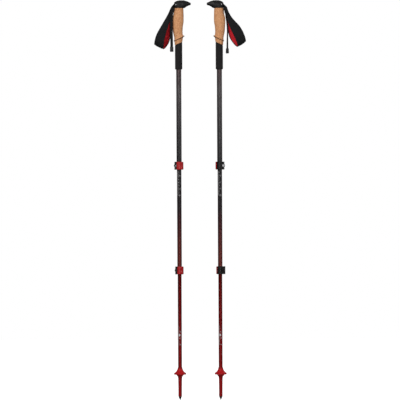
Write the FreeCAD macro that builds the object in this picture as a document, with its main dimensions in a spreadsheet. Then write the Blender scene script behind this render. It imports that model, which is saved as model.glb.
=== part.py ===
import FreeCAD, Part
import math
import os
import re
import Sketcher

# A pair of three-section trekking poles, in millimetres, +Z up.
# Each pole is drawn about its own axis with its tip at height 0 and the nose of its grip towards +X.
# The left pole stands at -X as drawn; the right pole stands at +X, turned half a turn about the vertical.

SIZES = {
    # the pair
    "pole_spacing": 127,
    "middle_turn": -22,
    # tubes: outside diameter, wall, ends
    "upper_od": 16,
    "middle_od": 14,
    "lower_od": 12,
    "tube_wall": 0.8,
    "upper_end": 721.2,
    "middle_end": 394.2,
    "lower_end": 76,
    "insertion": 150,
    "slot_width": 2,
    "slot_length": 20,
    # guide bushings
    "running_gap": 0.05,
    "guide_stem": 12,
    "guide_head": 14,
    "guide_chamfer": 1,
    # clamps
    "upper_clamp_base": 720,
    "lower_clamp_base": 393,
    "clamp_height": 24.6,
    "collar_wall": 2.4,
    "collar_lip": 1.2,
    "ear_reach": 6.3,
    "ear_back": 5,
    "ear_round": 4.6,
    "boss_radius": 5.4,
    "pivot_out": 3,
    "pivot_forward": 1.4,
    "barrel_radius": 2.4,
    "screw_radius": 1.95,
    "screw_head_radius": 3.2,
    "screw_head_depth": 2.6,
    "socket_radius": 1.7,
    "hub_radius": 3.6,
    "cam_lift": 0.3,
    "lever_gap": 0.4,
    "lever_wall": 2.6,
    "lever_round": 2.2,
    "hub_round": 0.6,
    "cam_start": 222,
    "cam_end": 262,
    "cover_start": 234,
    "cover_end": 386,
    "cover_wall": 1.4,
    "cover_dish": 16,
    "cover_corner": 5,
    # grip
    "grip_top": 1224,
    "core_wall": 1.6,
    "core_bottom": 1100,
    "foam_bottom": 1033,
    "foam_radius": 11.4,
    "foam_round": 3,
    "seam_height": 1113.5,
    "seam_tilt": 25,
    "stop_height": 1129,
    "stop_forward": 1.8,
    "stop_root": 11.6,
    "stop_length": 17.2,
    "stop_width": 15,
    "stop_rise": 9,
    "stop_fair": 8,
    # head and strap pin
    "pin_back": 7.6,
    "pin_height": 1236,
    "pin_radius": 2,
    "pin_length": 23,
    "cavity_front": 3,
    "cavity_half_width": 7.4,
    "cavity_bottom": 1230,
    "cavity_top": 1242.5,
    "spigot_bottom": 1203,
    "neck_radius": 13.2,
    # wrist strap
    "webbing_width": 13,
    "webbing_thickness": 4,
    "eye_radius": 3.3,
    "eye_gap": 0.05,
    "knee_reach": 12,
    "knee_lean": 60,
    "drop_length": 18,
    "drop_lean": 19,
    "pad_back": 25.5,
    "pad_top": 1206,
    "pad_lean": 22.8,
    "pad_top_width": 13,
    "pad_low_width": 33,
    "loop_drop": 82,
    "loop_radius": 22,
    "loop_neck": 5.5,
    "pad_thickness": 2.5,
    "lining_thickness": 1.5,
    "tail_back": 21.2,
    "tail_forward": 12,
    "tail_width": 8.6,
    "tail_thickness": 1.4,
    "tail_top": 1213,
    "tail_bottom": 1103,
    "tab_width": 11,
    "tab_thickness": 5,
    "tab_length": 16,
    # tip and basket
    "sleeve_bottom": 12,
    "sleeve_top": 102,
    "sleeve_tip_radius": 5.6,
    "sleeve_tip_length": 26,
    "seat_radius": 6.9,
    "seat_bottom": 73,
    "seat_taper": 6,
    "seat_lip": 0.5,
    "nose_break": 0.25,
    "holder_bottom": 3.4,
    "holder_stem": 3,
    "holder_step": 0.4,
    "holder_rim": 0.5,
    "holder_band": 1.5,
    "stem_top": 45,
    "carbide_radius": 1.6,
    "carbide_top": 9.8,
    "basket_radius": 18.6,
    "basket_bottom": 74,
    "basket_rim": 84.4,
    "basket_top": 98.4,
    "basket_wall": 0.9,
    "basket_slope": 6,
    "basket_edge": 0.7,
    "basket_lip": 4.6,
}

# Cross-sections of the cork, top to bottom: height, reach to the front, reach to the back, half depth.
CORK_SECTIONS = {
    "crown": (1224, 15.2, 13.6, 13.2),
    "shoulder": (1206, 16, 15.8, 13.6),
    "palm": (1188, 16.1, 19.4, 14),
    "waist": (1158, 13, 18, 13.2),
    "heel": (1138, 12.8, 14, 12.4),
    "root": (1096, 11.4, 11.4, 11.3),
}

# Cross-sections of the head, back to front: reach, middle height, half width, half height.
HEAD_SECTIONS = {
    "back": (-13.4, 1237, 8.5, 6),
    "rear": (-9, 1238, 12, 10.8),
    "middle": (4, 1237.7, 13.6, 12.3),
    "brow": (16, 1239.3, 11.4, 9.4),
    "bridge": (28, 1240, 8.2, 5.6),
    "nose": (37.4, 1238.4, 3.6, 2.2),
}

for section, numbers in CORK_SECTIONS.items():
    for size_name, number in zip(("height", "front", "rear", "depth"), numbers):
        SIZES[f"cork_{section}_{size_name}"] = number
for section, numbers in HEAD_SECTIONS.items():
    for size_name, number in zip(("reach", "level", "width", "height"), numbers):
        SIZES[f"head_{section}_{size_name}"] = number

PARTS_FOLDER = "parts"
X_AXIS = FreeCAD.Vector(1, 0, 0)
Y_AXIS = FreeCAD.Vector(0, 1, 0)
Z_AXIS = FreeCAD.Vector(0, 0, 1)
ALONG_Z = FreeCAD.Rotation()
ALONG_Y = FreeCAD.Rotation(X_AXIS, -90)
ACROSS_X = FreeCAD.Rotation(FreeCAD.Vector(1, 1, 1), 120)

doc = FreeCAD.newDocument("TrekkingPoles")
sheet = doc.addObject("Spreadsheet::Sheet", "Sizes")
for row, (alias, number) in enumerate(SIZES.items(), start=1):
    sheet.set(f"A{row}", str(number))
    sheet.setAlias(f"A{row}", alias)
doc.recompute()


def expression(text):
    """The same formula with each size's name pointing at the sheet."""
    return re.sub(r"[a-z_]+", lambda word: f"Sizes.{word[0]}" if word[0] in SIZES else word[0], str(text))


def number_of(text):
    return float(sheet.evalExpression(expression(text)))


def bind(thing, formulas):
    for path, text in formulas.items():
        thing.setExpression(path, expression(text))


def bind_base(thing, at):
    bind(thing, {f"Placement.Base.{axis}": text for axis, text in zip("xyz", at)})


# ---- shared ways of making a solid ----


def cylinder(name, radius, height, at=(0, 0, 0), turned=ALONG_Z):
    solid = doc.addObject("Part::Cylinder", name)
    solid.Placement.Rotation = turned
    bind(solid, {"Radius": radius, "Height": height})
    bind_base(solid, at)
    return solid


def box(name, size, at, turned=ALONG_Z):
    solid = doc.addObject("Part::Box", name)
    solid.Placement.Rotation = turned
    bind(solid, dict(zip(("Length", "Width", "Height"), size)))
    bind_base(solid, at)
    return solid


def fuse(name, solids):
    joined = doc.addObject("Part::MultiFuse", name)
    joined.Shapes = solids
    return joined


def cut(name, base, tools):
    result = doc.addObject("Part::Cut", name)
    result.Base = base
    result.Tool = tools[0] if len(tools) == 1 else fuse(f"{name}Tools", tools)
    return result


def common(name, solids):
    result = doc.addObject("Part::MultiCommon", name)
    result.Shapes = solids
    return result


def rounded(name, base, radius, chosen):
    """A fillet on the edges of base that the test picks out."""
    doc.recompute()
    size = number_of(radius)
    fillet = doc.addObject("Part::Fillet", name)
    fillet.Base = base
    fillet.Edges = [(count, size, size) for count, edge in enumerate(base.Shape.Edges, 1) if chosen(edge)]
    return fillet


def loft(name, sections):
    solid = doc.addObject("Part::Loft", name)
    solid.Sections = sections
    solid.Solid = True
    return solid


def ellipse(name, major, minor, at, turned):
    outline = doc.addObject("Part::Ellipse", name)
    outline.Placement.Rotation = turned
    bind(outline, {"MajorRadius": major, "MinorRadius": minor})
    bind_base(outline, at)
    return outline


def new_sketch(body, role, name):
    plane = next(feature for feature in body.Origin.OriginFeatures if feature.Role == role)
    sketch = body.newObject("Sketcher::SketchObject", name)
    sketch.AttachmentSupport = [(plane, "")]
    sketch.MapMode = "FlatFace"
    return sketch


def arc_between(start, end, radius):
    """The short arc from start to end, with its centre to the left when the radius is positive."""
    chord = end - start
    middle = (start + end) * 0.5
    left = FreeCAD.Vector(-chord.y, chord.x, 0).normalize()
    rise = math.sqrt(radius**2 - (chord.Length / 2) ** 2)
    centre = middle + left * math.copysign(rise, radius)
    first, last = (start, end) if radius > 0 else (end, start)
    angles = [math.atan2(point.y - centre.y, point.x - centre.x) for point in (first, last)]
    return Part.ArcOfCircle(Part.Circle(centre, Z_AXIS, abs(radius)), *angles)


def draw_loop(sketch, points):
    """A closed outline bound to the sheet.

    A point's third entry is the radius of the arc that leads on from it.
    """
    places = [FreeCAD.Vector(number_of(point[0]), number_of(point[1]), 0) for point in points]
    first = sketch.GeometryCount
    ends = []
    for index, point in enumerate(points):
        start, end = places[index], places[(index + 1) % len(places)]
        if len(point) == 3:
            radius = number_of(point[2])
            side = sketch.addGeometry(arc_between(start, end, radius), False)
            ends.append((1, 2) if radius > 0 else (2, 1))
            limit = sketch.addConstraint(Sketcher.Constraint("Radius", side, abs(radius)))
            sketch.setExpression(f"Constraints[{limit}]", expression(f"abs({point[2]})"))
        else:
            sketch.addGeometry(Part.LineSegment(start, end), False)
            ends.append((1, 2))
    for index, point in enumerate(points):
        following = (index + 1) % len(points)
        joint = (first + index, ends[index][1], first + following, ends[following][0])
        sketch.addConstraint(Sketcher.Constraint("Coincident", *joint))
        for way, text, value in (("X", point[0], places[index].x), ("Y", point[1], places[index].y)):
            corner = (-1, 1, first + index, ends[index][0], value)
            limit = sketch.addConstraint(Sketcher.Constraint(f"Distance{way}", *corner))
            sketch.setExpression(f"Constraints[{limit}]", expression(text))


def turned_body(name, points):
    """A body turned about the pole's axis, from (radius, height) points."""
    body = doc.addObject("PartDesign::Body", name)
    sketch = new_sketch(body, "XZ_Plane", f"{name}Outline")
    draw_loop(sketch, points)
    turn = body.newObject("PartDesign::Revolution", f"{name}Turn")
    turn.Profile = sketch
    turn.ReferenceAxis = (sketch, ["V_Axis"])
    turn.Angle = 360
    return body


def place(part, pole, label, at=(0, 0), lean=0, twist=0):
    """Put a sub-part drawn in its pole's own frame where that pole stands."""
    side, sign, turn = pole
    part.Label = f"{side}_{label}"
    upright = FreeCAD.Rotation(Z_AXIS, turn + number_of(twist))
    part.Placement.Rotation = upright * FreeCAD.Rotation(Y_AXIS, number_of(lean))
    bind_base(part, (f"{sign} * (pole_spacing / 2 - ({at[0]}))", 0, at[1]))
    return part


def middle_twist(pole):
    """The right pole's middle section was locked a little out of line with its grip."""
    return "middle_turn" if pole[0] == "right" else 0


# ---- tubes and their guides ----


def tube(pole, label, outside, bottom, top, twist=0, slotted=True):
    """A plain tube; two slots at the foot of a slotted one let the clamp squeeze it."""
    radius = f"{outside} / 2"
    bore = f"({radius} - tube_wall)"
    wall = [(bore, bottom), (radius, bottom), (radius, top), (bore, top)]
    body = turned_body("Tube", wall)
    if slotted:
        sketch = new_sketch(body, "YZ_Plane", "TubeSlot")
        low = f"({bottom} - 1)"
        high = f"({bottom} + slot_length)"
        half = "slot_width / 2"
        draw_loop(sketch, [(f"-{half}", low), (half, low), (half, high), (f"-{half}", high)])
        slot = body.newObject("PartDesign::Pocket", "TubeSlotCut")
        slot.Profile = sketch
        slot.SideType = "Symmetric"
        bind(slot, {"Length": outside})
        doc.recompute()
        removed = slot.BaseFeature.Shape.Volume - slot.Shape.Volume
        if removed < number_of("slot_width * slot_length * tube_wall"):
            raise RuntimeError(f"the slot in {label} removes only {removed:.1f} cubic millimetres")
    return place(body, pole, label, twist=twist)


def upper_tube(pole):
    return tube(pole, "upper_tube", "upper_od", "upper_end", "grip_top")


def middle_tube(pole):
    top = "(upper_end + insertion)"
    return tube(pole, "middle_tube", "middle_od", "middle_end", top, middle_twist(pole))


def lower_tube(pole):
    top = "(middle_end + insertion)"
    return tube(pole, "lower_tube", "lower_od", "lower_end", top, slotted=False)


def guide(pole, label, outer, inner, tube_top):
    """A bushing pressed into the top of a tube; its head runs inside the next tube up."""
    stem = f"({inner} / 2 - tube_wall)"
    head = f"({outer} / 2 - tube_wall - running_gap)"
    groove = f"({head} - guide_chamfer)"
    top = f"({tube_top} + guide_head)"
    middle = f"({tube_top} + guide_head / 2)"
    outline = [
        (0, f"{tube_top} - guide_stem"),
        (stem, f"{tube_top} - guide_stem"),
        (stem, tube_top),
        (head, tube_top),
        (head, f"{middle} - guide_chamfer"),
        (groove, f"{middle} - guide_chamfer"),
        (groove, f"{middle} + guide_chamfer"),
        (head, f"{middle} + guide_chamfer"),
        (head, f"{top} - guide_chamfer"),
        (groove, top),
        (0, top),
    ]
    return place(turned_body("Guide", outline), pole, label)


def middle_guide(pole):
    return guide(pole, "middle_guide", "upper_od", "middle_od", "(upper_end + insertion)")


def lower_guide(pole):
    return guide(pole, "lower_guide", "middle_od", "lower_od", "(middle_end + insertion)")


# ---- the two clamps ----


def is_level(edge):
    return edge.BoundBox.ZLength < 0.01


def clamp_frame(outside):
    """Formulas shared by the pieces of a clamp on a tube of that outside diameter."""
    radius = f"{outside} / 2"
    return {
        "tube": f"({radius})",
        "collar": f"({radius} + collar_wall)",
        "pivot_x": f"(-{radius} - pivot_out)",
        "pivot_y": f"(-{radius} - pivot_forward)",
        "ear_front": f"({radius} + pivot_forward - hub_radius - cam_lift - running_gap)",
    }


def clamp(pole, label, outside, inner, base, twist=0):
    frame = clamp_frame(outside)
    middle = f"{base} + clamp_height / 2"
    ring = cylinder("CollarRing", frame["collar"], "clamp_height", (0, 0, base))
    room_at = (frame["pivot_x"], frame["pivot_y"], base)
    hub_room = cylinder("HubRoom", "hub_radius + cam_lift + 2 * running_gap", "clamp_height", room_at)
    round_ring = rounded("CollarRound", ring, "collar_wall / 2", is_level)
    collar = cut("Collar", round_ring, [hub_room])
    ear_x = f"-{outside} / 2 - ear_reach"
    ear_size = ("ear_reach + 1", f"{frame['ear_front']} + ear_back", "clamp_height")
    ear_block = box("EarBlock", ear_size, (ear_x, f"-{frame['ear_front']}", base))
    outer_face = number_of(ear_x) + 0.01

    def is_ear_corner(edge):
        return is_level(edge) and edge.BoundBox.XMax < outer_face

    ears = rounded("Ears", ear_block, "ear_round", is_ear_corner)
    boss_at = (frame["pivot_x"], f"-{frame['ear_front']}", middle)
    boss = cylinder("Boss", "boss_radius", ear_size[1], boss_at, ALONG_Y)
    blank = fuse("ClampBlank", [collar, ears, boss])
    bore = cylinder("ClampBore", frame["tube"], "clamp_height", (0, 0, f"{base} + collar_lip"))
    lip = cylinder("ClampLip", f"{inner} / 2 + running_gap", "3 * collar_lip", (0, 0, f"{base} - collar_lip"))
    slit_size = ("2 * ear_reach + collar_wall", "slot_width", "clamp_height + 2")
    slit = box("Slit", slit_size, (f"{ear_x} - ear_reach", "-slot_width / 2", f"{base} - 1"))
    hole_at = (frame["pivot_x"], "-4 * boss_radius", middle)
    hole = cylinder("ScrewHole", "screw_radius + 3 * running_gap", "8 * boss_radius", hole_at, ALONG_Y)
    head_radius = "screw_head_radius + 3 * running_gap"
    head_at = (frame["pivot_x"], "ear_back", middle)
    head_room = cylinder("HeadRoom", head_radius, "2 * ear_back", head_at, ALONG_Y)
    return place(cut("Clamp", blank, [bore, lip, slit, hole, head_room]), pole, label, twist=twist)


def barrel_nut(pole, label, outside, base, twist=0):
    frame = clamp_frame(outside)
    at = (frame["pivot_x"], frame["pivot_y"], f"{base} + running_gap")
    barrel = cylinder("Barrel", "barrel_radius", "clamp_height - 2 * running_gap", at)
    hole_at = (frame["pivot_x"], f"{frame['pivot_y']} - 2 * barrel_radius", f"{base} + clamp_height / 2")
    hole = cylinder("BarrelHole", "screw_radius + running_gap", "4 * barrel_radius", hole_at, ALONG_Y)
    return place(cut("BarrelNut", barrel, [hole]), pole, label, twist=twist)


def tension_screw(pole, label, outside, base, twist=0):
    frame = clamp_frame(outside)
    middle = f"{base} + clamp_height / 2"
    foot = f"({frame['pivot_y']} - barrel_radius / 2)"
    face = "(ear_back + running_gap)"
    shank = cylinder("Shank", "screw_radius", f"{face} - {foot}", (frame["pivot_x"], foot, middle), ALONG_Y)
    head_at = (frame["pivot_x"], face, middle)
    head = cylinder("ScrewHead", "screw_head_radius", "screw_head_depth", head_at, ALONG_Y)
    socket = doc.addObject("Part::Prism", "Socket")
    socket.Polygon = 6
    socket.Placement.Rotation = ALONG_Y
    bind(socket, {"Circumradius": "socket_radius", "Height": "screw_head_depth"})
    bind_base(socket, (frame["pivot_x"], f"{face} + screw_head_depth / 3", middle))
    return place(cut("Screw", fuse("ScrewBlank", [shank, head]), [socket]), pole, label, twist=twist)


def wrap(name, inside, outer, start, end, base, trim="0"):
    """A stretch of the ring that wraps round a collar, between two angles about the pole's axis."""
    turned = FreeCAD.Rotation(Z_AXIS, number_of(start))
    height = f"clamp_height - 2 * {trim}"
    sector = cylinder(f"{name}Sector", outer, height, (0, 0, f"{base} + {trim}"), turned)
    bind(sector, {"Angle": f"{end} - {start}"})
    throat = cylinder(f"{name}Throat", inside, "clamp_height + 2", (0, 0, f"{base} - 1"))
    return cut(name, sector, [throat])


def soft_drum(name, radius, base):
    """A drum as tall as a clamp, with both rims rounded over."""
    drum = cylinder(f"{name}Drum", radius, "clamp_height", (0, 0, base))
    return rounded(f"{name}SoftDrum", drum, "lever_round", is_level)


def lever_layers(outside):
    """Inner face, joint between the cam's tongue and the cover, and outer face of a lever's arm."""
    inside = f"({clamp_frame(outside)['collar']} + lever_gap)"
    outer = f"({inside} + lever_wall)"
    return inside, f"({outer} - cover_wall)", outer


def hub_tools(frame, base):
    """The hole for the barrel nut and the slot that lets the lobes swing past the screw."""
    pin_at = (frame["pivot_x"], frame["pivot_y"], f"{base} - 1")
    pin_hole = cylinder("CamPinHole", "barrel_radius + running_gap", "clamp_height + 2", pin_at)
    slot_height = "2 * (screw_radius + 6 * running_gap)"
    slot_at = (frame["pivot_x"], frame["pivot_y"], f"{base} + clamp_height / 2 - {slot_height} / 2")
    return [pin_hole, cylinder("CamSlot", "hub_radius + 2 * cam_lift", slot_height, slot_at)]


def lever_cam(pole, label, outside, base, twist=0):
    """Two cam lobes, one either side of the screw, and the tongue that carries the cover."""
    frame = clamp_frame(outside)
    inside, joint, outer = lever_layers(outside)
    hub_at = (frame["pivot_x"], f"{frame['pivot_y']} + cam_lift", base)
    barrel = cylinder("CamBarrel", "hub_radius", "clamp_height", hub_at)
    hub = rounded("CamHub", barrel, "hub_round", is_level)
    root_ring = wrap("CamRootRing", inside, outer, "cam_start", "cover_start", base)
    root = common("CamRoot", [root_ring, soft_drum("Cam", outer, base)])
    tongue = wrap("CamTongue", inside, joint, "cam_start", "cam_end", base, "cover_wall")
    body = cut("Cam", fuse("CamBlank", [hub, root, tongue]), hub_tools(frame, base))
    return place(body, pole, label, twist=twist)


def lever_cover(pole, label, outside, base, twist=0):
    """The finger piece that wraps round the collar, with a dish for the fingertip."""
    frame = clamp_frame(outside)
    inside, joint, outer = lever_layers(outside)
    arm = wrap("CoverArm", inside, outer, "cover_start", "cover_end", base)
    tip = math.radians(number_of("cover_end"))
    tip_side = FreeCAD.Vector(-math.sin(tip), math.cos(tip), 0)

    def is_tip_corner(edge):
        ends = [vertex.Point for vertex in edge.Vertexes]
        return is_level(edge) and len(ends) == 2 and all(abs(point.dot(tip_side)) < 0.05 for point in ends)

    corners = rounded("CoverCorners", arm, "cover_corner", is_tip_corner)
    soft_arm = common("CoverSoftArm", [corners, soft_drum("Cover", outer, base)])
    tongue = wrap("CoverTongue", "collar_wall", joint, "cam_start", "cam_end", base, "cover_wall")
    dish = doc.addObject("Part::Sphere", "CoverDish")
    bind(dish, {"Radius": "cover_dish"})
    dish_reach = f"({outer} + cover_dish - cover_wall)"
    dish_x = f"{dish_reach} * cos(60deg)"
    dish_y = f"-{dish_reach} * sin(60deg)"
    bind_base(dish, (dish_x, dish_y, f"{base} + clamp_height / 2"))
    hub_at = (frame["pivot_x"], f"{frame['pivot_y']} + cam_lift", f"{base} - 1")
    hub = cylinder("CoverHubRoom", "hub_radius + running_gap", "clamp_height + 2", hub_at)
    cover = cut("Cover", soft_arm, [tongue, dish, hub, *hub_tools(frame, base)])
    return place(cover, pole, label, twist=twist)


def upper_clamp(pole):
    return clamp(pole, "upper_clamp", "upper_od", "middle_od", "upper_clamp_base")


def upper_barrel_nut(pole):
    return barrel_nut(pole, "upper_barrel_nut", "upper_od", "upper_clamp_base")


def upper_screw(pole):
    return tension_screw(pole, "upper_screw", "upper_od", "upper_clamp_base")


def upper_cam(pole):
    return lever_cam(pole, "upper_lever_cam", "upper_od", "upper_clamp_base")


def upper_cover(pole):
    return lever_cover(pole, "upper_lever_cover", "upper_od", "upper_clamp_base")


def lower_clamp(pole):
    return clamp(pole, "lower_clamp", "middle_od", "lower_od", "lower_clamp_base", middle_twist(pole))


def lower_barrel_nut(pole):
    return barrel_nut(pole, "lower_barrel_nut", "middle_od", "lower_clamp_base", middle_twist(pole))


def lower_screw(pole):
    return tension_screw(pole, "lower_screw", "middle_od", "lower_clamp_base", middle_twist(pole))


def lower_cam(pole):
    return lever_cam(pole, "lower_lever_cam", "middle_od", "lower_clamp_base", middle_twist(pole))


def lower_cover(pole):
    return lever_cover(pole, "lower_lever_cover", "middle_od", "lower_clamp_base", middle_twist(pole))


# ---- grip ----


def seam_side(name, keep_above):
    """Everything on one side of the slanted seam between the cork and the foam."""
    flip = 180 if keep_above else 0
    tilt = FreeCAD.Rotation(Y_AXIS, flip - number_of("seam_tilt"))
    return cylinder(name, "3 * foam_radius", "6 * foam_radius", (0, 0, "seam_height"), tilt)


def grip_core(pole):
    bore = "upper_od / 2"
    outside = f"({bore} + core_wall)"
    wall = [(bore, "core_bottom"), (outside, "core_bottom"), (outside, "grip_top"), (bore, "grip_top")]
    sleeve = turned_body("Core", wall)
    return place(cut("CoreCut", sleeve, [seam_side("CoreSeam", True)]), pole, "grip_core")


def finger_stop():
    """The flange below the fingers: three slanted rings, from the root out to the rim and back in."""
    tilt = FreeCAD.Rotation(Y_AXIS, -number_of("seam_tilt"))
    root_length = "stop_root / cos(seam_tilt * 1deg)"
    rings = [
        ellipse("StopLow", root_length, "stop_root", (0, 0, "stop_height - stop_rise"), tilt),
        ellipse("StopRim", "stop_length", "stop_width", ("stop_forward", 0, "stop_height"), tilt),
        ellipse("StopHigh", root_length, "stop_root", (0, 0, "stop_height + stop_fair"), tilt),
    ]
    solid = loft("FingerStop", rings)
    solid.Ruled = True
    return solid


def cork_grip(pole):
    rings = []
    for section in CORK_SECTIONS:
        name = f"cork_{section}"
        major = f"({name}_front + {name}_rear) / 2"
        at = (f"({name}_front - {name}_rear) / 2", 0, f"{name}_height")
        rings.append(ellipse("CorkRing", major, f"{name}_depth", at, ALONG_Z))
    blank = fuse("CorkBlank", [loft("CorkLoft", rings), finger_stop()])
    core = cylinder("CorkBore", "upper_od / 2 + core_wall", "grip_top", (0, 0, 0))
    return place(cut("Cork", blank, [core, seam_side("CorkSeam", True)]), pole, "cork_grip")


def foam_grip(pole):
    bore = "upper_od / 2"
    round_start = "foam_radius - foam_round"
    outline = [
        (bore, "foam_bottom"),
        (round_start, "foam_bottom", "foam_round"),
        ("foam_radius", "foam_bottom + foam_round"),
        ("foam_radius", "seam_height + foam_radius"),
        (bore, "seam_height + foam_radius"),
    ]
    sleeve = turned_body("Foam", outline)
    return place(cut("FoamCut", sleeve, [seam_side("FoamSeam", False)]), pole, "foam_grip")


def strap_cavity(name):
    size = ("2 * pin_back + 2 * cavity_front", "2 * cavity_half_width", "cavity_top - cavity_bottom")
    at = ("-2 * pin_back - cavity_front", "-cavity_half_width", "cavity_bottom")
    return box(name, size, at)


def across_pin(name, radius, length):
    return cylinder(name, radius, length, ("-pin_back", f"-({length}) / 2", "pin_height"), ALONG_Y)


def grip_head(pole):
    rings = []
    for section in HEAD_SECTIONS:
        name = f"head_{section}"
        at = (f"{name}_reach", 0, f"{name}_level")
        rings.append(ellipse("HeadRing", f"{name}_width", f"{name}_height", at, ACROSS_X))
    neck = cylinder("HeadNeck", "neck_radius", "head_middle_level - grip_top", (0, 0, "grip_top"))
    spigot_length = "grip_top - spigot_bottom"
    spigot = cylinder("Spigot", "upper_od / 2 - tube_wall", spigot_length, (0, 0, "spigot_bottom"))
    blank = fuse("HeadBlank", [loft("HeadLoft", rings), neck, spigot])
    tools = [strap_cavity("HeadCavity"), across_pin("HeadPinHole", "pin_radius", "pin_length")]
    return place(cut("Head", blank, tools), pole, "grip_head")


def strap_pin(pole):
    rod = across_pin("StrapPin", "pin_radius", "pin_length")
    ends = rounded("StrapPinEnds", rod, "pin_radius / 5", lambda edge: isinstance(edge.Curve, Part.Circle))
    return place(ends, pole, "strap_pin")


def strap_wedge(pole):
    half_width = "(cavity_half_width - running_gap)"
    height = "cavity_top - cavity_bottom"
    size = ("pin_back", f"2 * {half_width}", height)
    block = box("Wedge", size, ("cavity_front - pin_back", f"-{half_width}", "cavity_bottom"))
    saddle = across_pin("WedgeSaddle", "eye_radius + 4 * running_gap", "3 * cavity_half_width")
    return place(cut("WedgeCut", block, [saddle]), pole, "strap_wedge")


# ---- wrist strap ----


def strap_webbing(pole):
    """The narrow band: an eye round the pin, a run out of the head and a drop to the pad."""
    eye = across_pin("Eye", "eye_radius", "webbing_width")
    size = ("webbing_thickness", "webbing_width")
    knee_turn = FreeCAD.Rotation(Y_AXIS, number_of("knee_lean") + 180)
    knee_at = (
        "-pin_back + webbing_thickness / 2 * cos(knee_lean * 1deg)",
        "-webbing_width / 2",
        "pin_height - webbing_thickness / 2 * sin(knee_lean * 1deg)",
    )
    knee = box("Knee", (*size, "knee_reach"), knee_at, knee_turn)
    bend_x = "(-pin_back - knee_reach * sin(knee_lean * 1deg))"
    bend_z = "(pin_height - knee_reach * cos(knee_lean * 1deg))"
    bend_at = (bend_x, "-webbing_width / 2", bend_z)
    bend = cylinder("Bend", "webbing_thickness / 2", "webbing_width", bend_at, ALONG_Y)
    drop_turn = FreeCAD.Rotation(Y_AXIS, number_of("drop_lean") + 180)
    drop_at = (
        f"{bend_x} + webbing_thickness / 2 * cos(drop_lean * 1deg)",
        "-webbing_width / 2",
        f"{bend_z} - webbing_thickness / 2 * sin(drop_lean * 1deg)",
    )
    drop = box("Drop", (*size, "drop_length"), drop_at, drop_turn)
    band = fuse("WebbingBlank", [eye, knee, bend, drop])
    hole = across_pin("EyeHole", "pin_radius + eye_gap", "2 * webbing_width")
    return place(cut("Webbing", band, [hole]), pole, "strap_webbing")


def belt_points(inset):
    """Outline of a belt round the small top roll and the large bottom fold, drawn in by inset."""
    big = f"(loop_radius - {inset})"
    small = f"(loop_neck - {inset})"
    sine = "((loop_radius - loop_neck) / loop_drop)"
    cosine = f"sqrt(1 - {sine} * {sine})"
    top = f"{small} * {sine}"
    low = f"-loop_drop + {big} * {sine}"
    return [
        (f"-{small} * {cosine}", top),
        (f"-{big} * {cosine}", low, big),
        (0, f"-loop_drop - {big}", big),
        (f"{big} * {cosine}", low),
        (f"{small} * {cosine}", top, small),
    ]


def belt(pole, label, outer_inset, inner_inset):
    """One layer of the wrist loop: a closed band, narrow at the top and wide at the fold."""
    body = doc.addObject("PartDesign::Body", "Belt")
    sketch = new_sketch(body, "YZ_Plane", "BeltOutline")
    draw_loop(sketch, belt_points(outer_inset))
    draw_loop(sketch, belt_points(inner_inset))
    pad = body.newObject("PartDesign::Pad", "BeltWidth")
    pad.Profile = sketch
    pad.SideType = "Symmetric"
    bind(pad, {"Length": "pad_low_width"})
    taper = doc.addObject("Part::Wedge", "BeltTaper")
    taper.Placement.Rotation = FreeCAD.Rotation(X_AXIS, -90)
    reach = "2 * loop_radius"
    bind(taper, {
        "Ymin": 0, "Ymax": "loop_drop + loop_radius + loop_neck",
        "Xmin": "-pad_top_width / 2", "Xmax": "pad_top_width / 2", "Zmin": f"-{reach}", "Zmax": reach,
        "X2min": "-pad_low_width / 2", "X2max": "pad_low_width / 2", "Z2min": f"-{reach}", "Z2max": reach,
    })
    bind_base(taper, (0, 0, "loop_neck"))
    return place(common("BeltCut", [body, taper]), pole, label, ("-pad_back", "pad_top"), "pad_lean")


def strap_pad(pole):
    return belt(pole, "strap_pad", 0, "pad_thickness")


def strap_lining(pole):
    return belt(pole, "strap_lining", "pad_thickness", "(pad_thickness + lining_thickness)")


def strap_tail(pole):
    """The webbing's free end, which comes out beside the knee and hangs in front of the loop."""
    side = "-tail_back - tail_width / 2"
    size = ("tail_width", "tail_thickness", "tail_top - tail_bottom")
    hanging = box("TailHanging", size, (side, "-tail_forward - tail_thickness / 2", "tail_bottom"))
    size = ("tail_width", "tail_forward - webbing_width / 2", "tail_thickness")
    turn = box("TailTurn", size, (side, "-tail_forward", "tail_top - tail_thickness"))
    return place(fuse("Tail", [hanging, turn]), pole, "strap_tail")


def is_upright(base):
    """Test for an edge that climbs the full height of a block standing on base."""
    floor = number_of(base)

    def chosen(edge):
        return edge.BoundBox.ZMin < floor + 0.01 and edge.BoundBox.ZLength > 1

    return chosen


def strap_tab(pole):
    """The moulded end piece; the end of the webbing sits in its slot."""
    size = ("tab_width", "tab_thickness", "tab_length")
    base = "(tail_bottom - tab_length + tab_thickness)"
    block = box("Tab", size, ("-tail_back - tab_width / 2", "-tail_forward - tab_thickness / 2", base))
    slot_size = ("tail_width", "tail_thickness", "tab_length")
    slot_at = ("-tail_back - tail_width / 2", "-tail_forward - tail_thickness / 2", "tail_bottom")
    slot = box("TabSlot", slot_size, slot_at)
    tab = rounded("TabRound", cut("TabCut", block, [slot]), "tab_thickness / 4", is_upright(base))
    return place(tab, pole, "strap_tab")


# ---- tip and basket ----


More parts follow.
